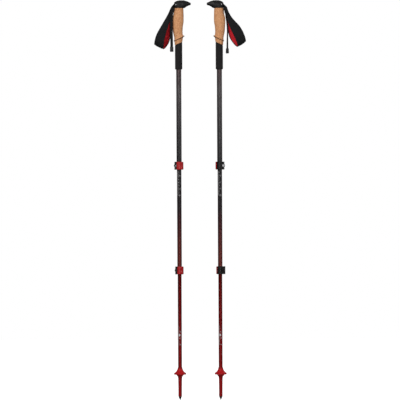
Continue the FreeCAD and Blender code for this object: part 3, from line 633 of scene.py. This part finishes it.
# Foam profile from the bottom up: height above its lower end, radius.
FOAM_PROFILE = (
    (1.6, 8.05), (0.9, 8.1), (0.1, 8.7), (0, 9.2), (0.35, 10.2), (1.2, 11), (2.6, 11.35), (5, 11.4),
)
# Foam shoulder under the seam: drop below the seam, radius.
FOAM_SHOULDER = ((2.2, 11.4), (0.9, 11.25), (0.35, 10.7), (0.3, 9.75), (0.3, 8.1))
FOAM_RADIUS = 11.4


def foam_points():
    """The foam's rings: level below, leaning with the seam at the top."""
    low = [(FOAM_LOW + rise, 0, radius) for rise, radius in FOAM_PROFILE]
    level = [(height, 0, FOAM_RADIUS) for height in np.arange(FOAM_LOW + 8, SEAM_HEIGHT - 26, 2.4)]
    slanted = [(height, 1, FOAM_RADIUS) for height in np.linspace(SEAM_HEIGHT - 24, SEAM_HEIGHT - 3.4, 14)]
    top = [(SEAM_HEIGHT - drop, 1, radius) for drop, radius in FOAM_SHOULDER]
    rows = np.array(low + level + slanted + top)
    angle = np.linspace(0, 2 * math.pi, 96, endpoint=False)
    x = rows[:, 2:] * np.cos(angle)
    y = rows[:, 2:] * np.sin(angle)
    lean = SEAM_SLOPE * smooth_step(SEAM_HEIGHT - 60, SEAM_HEIGHT - 22, rows[:, :1])
    rings = np.stack([x, y, rows[:, :1] + lean * x], axis=-1)
    outward = np.stack([np.cos(angle), np.sin(angle), 0 * angle], axis=-1)
    return rings + outward * (0.1 * rumple(rings, 13, 3)).reshape(rings.shape[:2])[..., None]


def foam_grip(side, rings):
    points, faces = skin(in_row(side, rings), looped=True)
    new_piece(f"{side}_foam", f"{side}_handle", MATERIALS["foam"], points, faces,
              [f"{side}_foam_grip"], sharp=70)


# ---- head ----

# Head sections from back to front: reach, top, bottom, half width.
HEAD_SECTIONS = (
    (-14.4, 1241.6, 1229.5, 11.2), (-11.5, 1243.9, 1227.6, 12.2), (-7, 1246.6, 1225.4, 13.1),
    (0, 1248.3, 1224.4, 13.6), (8, 1248.9, 1224, 13.6), (16, 1248.6, 1225.2, 12.8),
    (23, 1247.3, 1228.4, 11.4), (30, 1244.9, 1231.8, 9.6), (35.5, 1242.4, 1233.7, 7.6),
    (39.5, 1241, 1234.8, 6.4),
)
HEAD_FLOOR = 1224.9
HEAD_BACK = -14.2
HEAD_FRONT = 39.2
FULLNESS = 2.3
NOSE = {"start": 33, "height": 1238, "radius": 6.2}
NECK = {"middle": 0.8, "reach": 14.3, "depth": 13.1}
CAP_DROP = 4.6
STRAP_SLOT = {"middle": (-15, 0, PIN_HEIGHT - 0.3), "half": (11, 7.1, 5.2), "round": 1.2}
PIN_HOLE = 2.25
INSERT = {"middle": 10, "reach": 9.5, "depth": 7.2, "rise": 0.9, "skirt": 1.2}


def head_body(points):
    """The plain head: fuller than an ellipse in section, flat at the back, with a rounded nose."""
    x, y, z = np.moveaxis(points, -1, 0)
    top, bottom, half_width = np.moveaxis(through(HEAD_SECTIONS, x), -1, 0)
    half_height = (top - bottom) / 2
    across = np.abs(y / half_width) ** FULLNESS
    upright = np.abs((z - (top + bottom) / 2) / half_height) ** FULLNESS
    body = ((across + upright) ** (1 / FULLNESS) - 1) * np.minimum(half_width, half_height)
    body = smooth_overlap(body, HEAD_BACK - x, 2.5)
    rise = (z - NOSE["height"]) * 0.9 * smooth_step(27, 36, x)
    nose = np.hypot(np.maximum(x - NOSE["start"], 0), rise) - NOSE["radius"]
    body = smooth_overlap(body, nose, 1.5)
    return smooth_overlap(body, x - HEAD_FRONT, 2)


def head_field(points):
    """The head with its neck, the groove round its cap, and the slot and pin hole for the strap."""
    x, y, z = np.moveaxis(points, -1, 0)
    body = head_body(points)
    neck = (np.hypot((x - NECK["middle"]) / NECK["reach"], y / NECK["depth"]) - 1) * NECK["depth"]
    neck = smooth_overlap(neck, z - PIN_HEIGHT, 3)
    solid = smooth_union(body, neck, 4 + 8 * smooth_step(8, 17, x))
    line = through(HEAD_SECTIONS, x)[..., 0] - CAP_DROP
    along = smooth_step(-10, -4, x) * (1 - smooth_step(26, 33, x))
    solid = solid - 0.3 * smooth_step(-0.3, 0.5, z - line) * along
    solid = solid + 0.45 * np.exp(-(((z - line) / 0.5) ** 2)) * along
    parting = np.exp(-((y / 0.35) ** 2)) * smooth_step(27, 30, x)
    solid = solid + 0.15 * parting
    slot = rounded_box(points, STRAP_SLOT["middle"], STRAP_SLOT["half"], STRAP_SLOT["round"])
    solid = smooth_overlap(solid, -slot, 1.2)
    hole = np.hypot(x + PIN_BACK, z - PIN_HEIGHT) - PIN_HOLE
    solid = smooth_overlap(solid, -hole, 0.8)
    return smooth_overlap(solid, HEAD_FLOOR - z, 1.2)


def insert_field(points):
    """The soft pad let into the top of the head, with ridges across it; its light grey colour is a painted
    sheen on the head's top.
    """
    x, y, z = np.moveaxis(points, -1, 0)
    body = head_body(points)
    oval = (np.hypot((x - INSERT["middle"]) / INSERT["reach"], y / INSERT["depth"]) - 1) * INSERT["depth"]
    ridges = 0.22 * np.cos((x - INSERT["middle"]) * 2 * math.pi / 3) * (1 - smooth_step(-2.5, -0.6, oval))
    shell = smooth_overlap(body - INSERT["rise"] - ridges, -(body + INSERT["skirt"]), 0.3)
    raised = smooth_overlap(shell, oval, 1.2)
    return np.maximum(raised, PIN_HEIGHT - z)


def grip_head(side, head, insert):
    points, faces = head
    new_piece(f"{side}_head", f"{side}_handle", MATERIALS["head"],
              in_row(side, points), faces, [f"{side}_grip_head"], sharp=60)
    # The pad on top, whose light grey is a painted sheen.
    points, faces = insert
    new_piece(f"{side}_head_insert_painted_sheen", f"{side}_handle", MATERIALS["insert"],
              in_row(side, points), faces, sharp=60)


# ---- wrist strap ----

# The padded band's two edges, down the near limb, round the fold and up the far limb:
# outer edge x, y, z, then inner edge x, y, z. The right strap hangs a little wider than the left one.
BAND_EDGES = {
    "left": (
        (-31.4, -3.6, 1209, -18.4, -3.6, 1206), (-38.7, -6, 1195.5, -22.4, -6, 1193.5),
        (-45.6, -9.8, 1183.5, -27.4, -9.8, 1181), (-54.3, -13.8, 1168.6, -32.2, -13.8, 1166.4),
        (-65, -18, 1150, -38.4, -18, 1147.4), (-70.6, -20, 1137.5, -41.9, -20.2, 1133.4),
        (-74.3, -19.2, 1124.5, -45, -20, 1118), (-75.8, -14, 1115.6, -46.6, -15, 1103.6),
        (-75.9, -6, 1112.6, -46.9, -6.6, 1098.2), (-74.2, 5, 1112.8, -44.6, 6, 1098.2),
        (-70.2, 14.5, 1117.6, -38.4, 15, 1104.6), (-64.4, 19.6, 1127.5, -31.2, 19.8, 1115.5),
        (-58.5, 20.2, 1139.5, -26.9, 20.4, 1128), (-53.6, 18.2, 1151, -25.8, 18.6, 1141),
        (-47.6, 14, 1167.5, -25.2, 14, 1161), (-40.2, 9, 1185.5, -22.8, 9, 1181.5),
        (-35.4, 5.4, 1197.5, -20.4, 5.4, 1195), (-31.6, 3.6, 1209, -18.6, 3.6, 1206),
    ),
    "right": (
        (-32, -3.6, 1208.4, -20.2, -3.6, 1205.6), (-40.2, -6, 1194.8, -24, -6, 1192),
        (-51.4, -10, 1181.6, -28, -10, 1177.4), (-63.2, -14, 1168.8, -33, -14, 1164.6),
        (-72.4, -18, 1154, -40, -18, 1149.4), (-78, -20, 1141.5, -46, -20.2, 1137),
        (-81.6, -19.2, 1131, -51.6, -20, 1123.6), (-83, -14, 1123.6, -56, -15, 1110.6),
        (-82.6, -6, 1120.6, -57.4, -6.6, 1104.8), (-80.4, 5, 1120.8, -54.8, 6, 1104.2),
        (-76.4, 14.5, 1125, -48.4, 15, 1109.6), (-71, 19.6, 1133.6, -40.4, 19.8, 1119.6),
        (-65.8, 20.2, 1144, -33.2, 20.4, 1131.4), (-60, 18.2, 1155.5, -29, 18.6, 1144.4),
        (-52.2, 14, 1170, -26.2, 14, 1162.4), (-42.8, 9, 1187, -24.4, 9, 1182.4),
        (-36.4, 5.4, 1198.5, -22.6, 5.4, 1195.4), (-32.2, 3.6, 1208.4, -20.4, 3.6, 1205.6),
    ),
}

# The narrow webbing: from inside the near limb up to the head, round the pin, and back down into the far
# limb. The stretch round the pin is the same on both poles.
PIN_LOOP = (
    (-13.4, -6.6, 1232.4, -12.8, 6.2, 1231.4), (-8.4, -6.5, 1233, -8.4, 6.5, 1233),
    (-5.5, -6.5, 1233.9, -5.5, 6.5, 1233.9), (-4.6, -6.5, 1236, -4.6, 6.5, 1236),
    (-5.6, -6.5, 1238.2, -5.6, 6.5, 1238.2), (-8.6, -6.5, 1239, -8.6, 6.5, 1239),
    (-13.2, -6.5, 1237, -13, 6.5, 1236.8),
)
WEBBING_EDGES = {
    "left": (
        (-33.8, -4.2, 1202, -20.6, -4.2, 1199.6), (-31, -6.4, 1209.6, -17.6, -8.2, 1204.6),
        (-27, -9.4, 1219, -14.8, -10.8, 1212.6), (-22.8, -9.8, 1226.8, -11.4, -11.4, 1220.8),
        (-18.2, -8, 1231, -13.4, -2.6, 1226), *PIN_LOOP, (-18.4, -5, 1232.6, -16.2, 7.2, 1230),
        (-23, -0.6, 1227.2, -16, 9.4, 1222.2), (-27.2, 3.4, 1219.4, -16.6, 9.6, 1212.6),
        (-31.2, 5.6, 1209.8, -18.4, 7.2, 1205), (-34, 4.2, 1202, -20.8, 4.2, 1199.6),
    ),
    "right": (
        (-35, -4.2, 1202, -22.6, -4.2, 1198.6), (-30.8, -6.4, 1210.6, -19.8, -7.4, 1205.6),
        (-27, -9.4, 1220.2, -16.6, -10, 1213.4), (-24.4, -9.6, 1227.8, -13.2, -10, 1221.4),
        (-19.2, -8, 1231.4, -13.6, -2.4, 1226.2), *PIN_LOOP, (-18.6, -5, 1232.9, -16.4, 7.2, 1230.4),
        (-23.8, -0.6, 1228, -16.4, 9.4, 1222.6), (-27.2, 3.4, 1220.4, -16.8, 9.6, 1212.8),
        (-31, 5.6, 1210.6, -19.4, 7.2, 1205.4), (-35, 4.2, 1202, -22.8, 4.2, 1198.6),
    ),
}

BAND_STEP = 0.8
TAPE_STEP = 0.9
WEBBING_THICKNESS = 1.8
TAIL_THICKNESS = 1.4
TAIL_HALF = 4.3
RUFFLE = 0.45
STITCH_STEP = 3.1
STITCH_MARGIN = 4
CHANNEL = 2.7
LINING_SEAM = 3.0


class Ribbon:
    """A band between two edges, with a way across, a way along and a way out at every step."""

    def __init__(self, edges, step):
        rows, self.along = spaced(edges, step)
        outer, inner = rows[:, :3], rows[:, 3:]
        self.middle = (outer + inner) / 2
        gap = inner - outer
        self.width = np.linalg.norm(gap, axis=1)
        self.across = gap / self.width[:, None]
        forward = np.gradient(self.middle, axis=0)
        self.out = np.cross(forward, self.across)
        self.out /= np.linalg.norm(self.out, axis=1, keepdims=True)

    def point(self, row, across, out):
        return self.middle[row] + self.across[row] * across + self.out[row] * out

    def at(self, length, across, out):
        """Points at distances along, with an offset across and out."""
        def read(table):
            return np.stack([np.interp(length, self.along, column) for column in table.T], axis=-1)
        return read(self.middle) + read(self.across) * across[:, None] + read(self.out) * out[:, None]


def swept(ribbon, profile):
    """Rings of a closed profile carried along a ribbon, with the across-and-along pair of every point."""
    rings, pairs, edges = [], [], []
    for row, width in enumerate(ribbon.width):
        section = profile(width / 2, ribbon.along[row])
        rings.append([ribbon.point(row, across, out) for across, out in section])
        pairs.append([(ribbon.along[row], across) for across, _ in section])
        edges.append([width / 2 - abs(across) for across, _ in section])
    return np.array(rings), np.array(pairs), np.array(edges)


# Distances in from the edge of the shell at which its bead, channel and cushion need a point.
INSETS = (0, 0.12, 0.45, 1, 1.6, 2.1, 2.45, 2.75, 3.1, 3.6, 4.4, 5.6)


def crown(reach, length):
    """How proud the padding stands at a distance from the edge: bead, sewn channel, then cushion."""
    bead = 1.25 * np.sqrt(np.clip(1 - ((reach - 1.15) / 1.2) ** 2, 0, 1))
    pucker = 0.16 * math.cos(2 * math.pi * length / STITCH_STEP) * np.exp(-(((reach - CHANNEL) / 1.1) ** 2))
    cushion = 0.75 + 1.9 * (1 - np.exp(-np.maximum(reach - CHANNEL, 0) / 2.4))
    return np.where(reach < 2.2, np.maximum(bead, 0.75 * smooth_step(1.2, 2.2, reach)), cushion) + pucker


def evenly_matched(half):
    """The same number of stations whatever the width."""
    insets = np.array(INSETS) * min(1, half / 12)
    spans = np.linspace(insets[-1], half, 6)[1:-1]
    outer = np.concatenate([insets, spans]) - half
    return np.concatenate([outer, [0], -outer[::-1]])


def shell_profile(half, length):
    """Section of the black outer band: padded outside, with its bound edges turned in."""
    across = evenly_matched(half)
    reach = half - np.abs(across)
    outside = crown(reach, length)
    inner = np.array([-half + 2.3, -half + 1.9, -half + 1.2, -half + 0.4])
    depth = np.array([-0.25, -0.8, -1.15, -0.75])
    under = list(zip(-inner[::-1], depth[::-1])) + [(0, -0.2)] + list(zip(inner, depth))
    return list(zip(across, outside)) + under


def lining_profile(half, length):
    """Section of the red lining: cushioned inside, its back hidden in the outer band."""
    start = 1.9
    inset = np.array([start, start + 0.15, start + 0.5, start + 1, start + 1.8, start + 3])
    inset = inset * min(1, half / 8)
    spans = np.linspace(inset[-1], half, 5)[1:-1]
    outer = np.concatenate([inset, spans]) - half
    across = np.concatenate([outer, [0], -outer[::-1]])
    reach = half - np.abs(across) - inset[0]
    pucker = 0.1 * math.cos(2 * math.pi * length / STITCH_STEP) * np.exp(-(((reach - 0.9) / 0.8) ** 2))
    deep = -0.35 - 1.25 * (1 - np.exp(-reach / 1.3)) + pucker
    hidden = [(across[-1], 0.1), (0, 0.3), (across[0], 0.1)]
    return list(zip(across, deep)) + hidden


def flat_profile(thickness):
    """A woven tape with rolled edges."""
    half_thick = thickness / 2
    turn = np.linspace(-90, 90, 7)

    def profile(half, _length):
        straight = half - half_thick
        right = [(straight + half_thick * math.cos(math.radians(a)), half_thick * math.sin(math.radians(a)))
                 for a in turn]
        top = [(straight * share, half_thick) for share in (0.5, 0, -0.5)]
        left = [(-across, -out) for across, out in right]
        under = [(-across, -out) for across, out in top]
        return [*right, *top, *left, *under]

    return profile


def band_piece(side, name, material, ribbon, profile, stands_for, ruffle=0.0):
    """A piece of the strap: a profile swept along a ribbon, with soft waves as high as ruffle."""
    rings, pairs, edges = swept(ribbon, profile)
    if ruffle:
        lift = ruffle * rumple(rings, 16, 5).reshape(rings.shape[:2])
        rings = rings + ribbon.out[:, None, :] * lift[..., None]
    points, faces = skin(in_row(side, rings, mirrored=True))
    uvs = np.vstack([pairs.reshape(-1, 2), [[0.0, 0.0]] * 2])
    edge = np.concatenate([edges.ravel(), [9.0, 9.0]])
    new_piece(f"{side}_{name}", f"{side}_strap", MATERIALS[material], points, faces,
              [f"{side}_{stands_for}"], uvs, edge, sharp=75)


def stitches(side, name, material, ribbon, rows, start, end, length=2.3, thick=0.34):
    """Rows of sewn thread, each with its inset, its edge and its face of the band.

    Every stitch is a short bead that dips into the fabric at both ends.
    """
    share = np.linspace(-1, 1, 7)
    angle = np.linspace(0, 2 * math.pi, 6, endpoint=False)
    parts = []
    for inset, sign, proud in rows:
        for middle in np.arange(start, end, STITCH_STEP):
            along = middle + share * length / 2
            half = np.interp(along, ribbon.along, ribbon.width) / 2
            swell = np.sqrt(np.clip(1.02 - share**2, 0, 1))
            line = ribbon.at(along, sign * (half - inset), proud * (0.9 + 0.25 * swell))
            way = ribbon.at(along, sign * (half - inset), proud * (1.9 + 0.25 * swell)) - line
            way /= np.linalg.norm(way, axis=1, keepdims=True)
            run = np.gradient(line, axis=0)
            aside = np.cross(run, way)
            aside /= np.linalg.norm(aside, axis=1, keepdims=True)
            size = (thick * swell)[:, None, None]
            rings = line[:, None] + size * (
                way[:, None] * np.sin(angle)[None, :, None] + aside[:, None] * np.cos(angle)[None, :, None]
            )
            parts.append(skin(rings))
    points, faces = joined(parts)
    new_piece(f"{side}_{name}", f"{side}_strap", MATERIALS[material],
              in_row(side, points, mirrored=True), faces)


# The tail's middle line and its turn: height, x, y, degrees. It is face-on at the left grip, and turned
# nearly edge-on and a little longer at the right one.
TAIL_LINES = {
    "left": (
        (1214, -20.4, -8.4, 0), (1207, -20.8, -10.6, 0), (1197, -21.6, -12, 2), (1180, -22.2, -12.8, 5),
        (1160, -22.1, -12.9, 2), (1140, -21.9, -12.4, -4), (1120, -21.6, -12.1, 0), (1096, -21.5, -12, 3),
    ),
    "right": (
        (1214, -22.8, 7.4, 0), (1207, -23.2, 9.8, 8), (1197, -24, 12, 24), (1180, -25.2, 13, 52),
        (1160, -26, 12.8, 66), (1140, -26, 12.2, 66), (1118, -25.6, 12, 58), (1091, -25.4, 12, 52),
    ),
}


def tail_edges(side):
    """Both edges of the free end of the webbing, from its middle line."""
    rows = []
    for z, x, y, turn in TAIL_LINES[side]:
        way = np.array([math.cos(math.radians(turn)), math.sin(math.radians(turn)), 0]) * TAIL_HALF
        middle = np.array([x, y, z])
        rows.append((*(middle - way), *(middle + way)))
    return rows


TAB_HALF, TAB_ROUND = (5.4, 2.5, 8), 1.9
RIB_STEP, RIB_HEIGHT = 2.6, 0.34


def tab_field(points):
    """The moulded end of the tail, drawn about its own middle: a wedge with three ribs across each face."""
    x, y, z = np.moveaxis(points, -1, 0)
    flare = 1 + 0.28 * smooth_step(4, -8, z)
    shrunk = np.stack([x / (0.94 + 0.06 * flare), y / flare, z], axis=-1)
    body = rounded_box(shrunk, (0, 0, 0), TAB_HALF, TAB_ROUND)
    from_rib = np.mod(z + 6.2, RIB_STEP) - RIB_STEP / 2
    ribs = RIB_HEIGHT * np.exp(-((from_rib / 0.55) ** 2)) * (np.abs(z + 1.2) < 3.9)
    return body + ribs * smooth_step(0.6, 1.6, np.abs(y)) * (1 - smooth_step(3.6, 4.6, np.abs(x)))


def strap_tab(side, tab, ribbon):
    """The tab at the foot of the tail, in line with it."""
    points, faces = tab
    last = len(ribbon.along) - 1
    down = ribbon.middle[last] - ribbon.middle[last - 1]
    down /= np.linalg.norm(down)
    across, out = ribbon.across[last], ribbon.out[last]
    placed = ribbon.middle[last] + points[:, :1] * across + points[:, 1:2] * out - points[:, 2:] * down
    new_piece(f"{side}_tail_tab", f"{side}_strap", MATERIALS["tab"],
              in_row(side, placed, mirrored=True), faces, [f"{side}_strap_tab"], sharp=60)


def wrist_strap(side, tab):
    band = Ribbon(BAND_EDGES[side], BAND_STEP)
    band_piece(side, "strap_shell", "shell", band, shell_profile, "strap_pad", RUFFLE)
    band_piece(side, "strap_inner", "lining", band, lining_profile, "strap_lining", RUFFLE)
    webbing = Ribbon(WEBBING_EDGES[side], TAPE_STEP)
    tape = flat_profile(WEBBING_THICKNESS)
    band_piece(side, "webbing", "webbing", webbing, tape, "strap_webbing")
    end = band.along[-1] - STITCH_MARGIN
    shell_rows = ((CHANNEL, -1, 1), (CHANNEL, 1, 1))
    stitches(side, "shell_stitches", "thread", band, shell_rows, STITCH_MARGIN, end)
    lining_rows = ((LINING_SEAM, -1, -1), (LINING_SEAM, 1, -1))
    stitches(side, "lining_stitches", "red_thread", band, lining_rows, STITCH_MARGIN, end)
    tail = Ribbon(tail_edges(side), TAPE_STEP)
    band_piece(side, "tail", "webbing", tail, flat_profile(TAIL_THICKNESS), "strap_tail")
    strap_tab(side, tab, tail)


# ---- printed marks ----


PRINT_LIFT = 0.06
# The way each pole's scales face, in degrees about its axis.
FACING = {"left": -100, "right": 80}


def plate(radius, turn, z, half_angle, half_height, lift=PRINT_LIFT, pieces=6):
    """A thin printed patch that follows the tube's surface, closed on every side."""
    angles = np.radians(np.linspace(turn - half_angle, turn + half_angle, pieces + 1))
    rings = []
    for angle in angles:
        way = np.array([math.cos(angle), math.sin(angle), 0])
        rings.append([
            way * (radius - lift) + [0, 0, z - half_height], way * (radius + lift) + [0, 0, z - half_height],
            way * (radius + lift) + [0, 0, z + half_height], way * (radius - lift) + [0, 0, z + half_height],
        ])
    return skin(np.array(rings))


def numeral(text, radius, turn, z, size):
    """A number wrapped onto the tube, reading up its length, cut finely enough to follow the curve."""
    curve = bpy.data.curves.new("numeral", "FONT")
    curve.body = text
    curve.size = size
    curve.extrude = PRINT_LIFT
    curve.align_x = "CENTER"
    curve.align_y = "CENTER"
    curve.resolution_u = 4
    holder = bpy.data.objects.new("numeral", curve)
    bpy.context.scene.collection.objects.link(holder)
    bpy.context.view_layer.update()
    mesh = bpy.data.meshes.new_from_object(holder.evaluated_get(bpy.context.evaluated_depsgraph_get()))
    cut_up = bmesh.new()
    cut_up.from_mesh(mesh)
    for level in np.arange(-size, size, size / 8):
        everything = [*cut_up.verts, *cut_up.edges, *cut_up.faces]
        bmesh.ops.bisect_plane(cut_up, geom=everything, plane_co=(0, level, 0), plane_no=(0, 1, 0))
    cut_up.to_mesh(mesh)
    cut_up.free()
    points = np.array([vertex.co for vertex in mesh.vertices])
    faces = [tuple(polygon.vertices) for polygon in mesh.polygons]
    bpy.data.objects.remove(holder)
    bpy.data.curves.remove(curve)
    bpy.data.meshes.remove(mesh)
    angle = math.radians(turn) - points[:, 1] / radius
    reach = radius + points[:, 2]
    return np.stack([reach * np.cos(angle), reach * np.sin(angle), z + points[:, 0]], axis=-1), faces


def length_scale(side, section, radius, low, high, first, block=None):
    """Ticks every five millimetres, a number at every fourth, and a solid block at the usual setting."""
    turn = FACING[side]
    parts = []
    if block is not None:
        parts.append(plate(radius, turn, block, 24, 3.4))
    for count, z in enumerate(np.arange(low, high, 5)):
        if z == block:
            continue
        long = count % 2 == 0
        parts.append(plate(radius, turn - (10 if long else 16), z, 16 if long else 9, 0.28))
        if count % 4 == 0:
            parts.append(numeral(str(first + 5 * (count // 4)), radius, turn + 30, z, 3.6))
    parts.append(plate(radius, turn - 30, (low + high) / 2, 2, (high - low) / 2))
    points, faces = joined(parts)
    new_piece(f"{side}_{section}_scale", f"{side}_{section}", MATERIALS["marks"],
              in_row(side, points), faces)


# ---- putting the pieces together ----

cork = cork_points()
foam = foam_points()
head = surface_of(head_field, low=(-16.5, -15.5, 1223), high=(41, 15.5, 1252), step=0.6)
insert = surface_of(insert_field, low=(-2, -9, 1243), high=(22, 9, 1252), step=0.4)
tab = surface_of(tab_field, low=(-6.5, -4.4, -9), high=(6.5, 4.4, 9), step=0.35)
for side in SIDES:
    cork_grip(side, cork)
    foam_grip(side, foam)
    grip_head(side, head, insert)
    wrist_strap(side, tab)
    length_scale(side, "middle", MIDDLE_RADIUS, low=640, high=716, first=105)
    length_scale(side, "lower", LOWER_RADIUS, low=173, high=233, first=100, block=203)


# ---- studio ----


def studio_surface(name, colour):
    """Pale paper, lifted to white where the camera sees it."""
    shade = Shading(name, roughness=0.9)
    mottled = shade.mix(shade.spread(shade.noise(60, 3), 0.3, 0.7, 0, 0.02), colour, rgb(246, 246, 248))
    seen = shade.add("ShaderNodeLightPath").outputs["Is Camera Ray"]
    shade.set(base_color=shade.mix(seen, scaled(colour, 0.3), mottled))
    shade.set(emission_color=mottled, emission_strength=shade.math("MULTIPLY", seen, 0.9))
    return shade.material


def floor():
    mesh = bpy.data.meshes.new("floor")
    half = 6
    corners = [(-half, -half, 0), (half, -half, 0), (half, half, 0), (-half, half, 0)]
    mesh.from_pydata(corners, [], [(0, 1, 2, 3)])
    mesh.materials.append(studio_surface("floor_white", rgb(250, 250, 250)))
    ground = bpy.data.objects.new("floor", mesh)
    bpy.context.scene.collection.objects.link(ground)


def area_light(name, place, target, size, power):
    light = bpy.data.lights.new(name, "AREA")
    light.shape = "RECTANGLE"
    light.size, light.size_y = size
    light.energy = power
    holder = bpy.data.objects.new(name, light)
    holder.location = place
    holder.rotation_euler = (Vector(target) - Vector(place)).to_track_quat("-Z", "Y").to_euler()
    bpy.context.scene.collection.objects.link(holder)


def sky():
    """White behind the object for the camera, a softer grey as light."""
    world = bpy.data.worlds.new("studio")
    world.use_nodes = True
    tree = world.node_tree
    ray = tree.nodes.new("ShaderNodeLightPath")
    background = tree.nodes["Background"]
    seen = tree.nodes.new("ShaderNodeMapRange")
    seen.inputs["To Min"].default_value = 0.22
    seen.inputs["To Max"].default_value = 1.0
    tree.links.new(ray.outputs["Is Camera Ray"], seen.inputs["Value"])
    tree.links.new(seen.outputs["Result"], background.inputs["Strength"])
    background.inputs["Color"].default_value = (1, 1, 1, 1)
    bpy.context.scene.world = world


MIDDLE = (0, 0, 0.625)
LENS, SENSOR, FRAME_HEIGHT = 400, 36, 1.25
CAMERA_ASIDE, CAMERA_ROLL = 0.0012, math.radians(0.26)
floor()
sky()
area_light("key", (-1.6, -2.6, 2.3), MIDDLE, (0.9, 1.6), 56)
area_light("front", (0.15, -3.2, 0.8), MIDDLE, (0.25, 2.2), 20)
area_light("fill", (2.4, -1.2, 1.4), MIDDLE, (1.2, 1.6), 16)
area_light("back", (0.6, 2.6, 1.9), MIDDLE, (1.6, 1.2), 4)

camera = bpy.data.objects.new("camera", bpy.data.cameras.new("camera"))
camera.data.lens = LENS
camera.data.sensor_width = SENSOR
camera.data.clip_end = 100
camera.location = (CAMERA_ASIDE, -FRAME_HEIGHT * LENS / SENSOR, FRAME_HEIGHT / 2)
camera.rotation_euler = (math.pi / 2, CAMERA_ROLL, 0)
bpy.context.scene.collection.objects.link(camera)
bpy.context.scene.camera = camera
bpy.context.scene.view_settings.view_transform = "Standard"
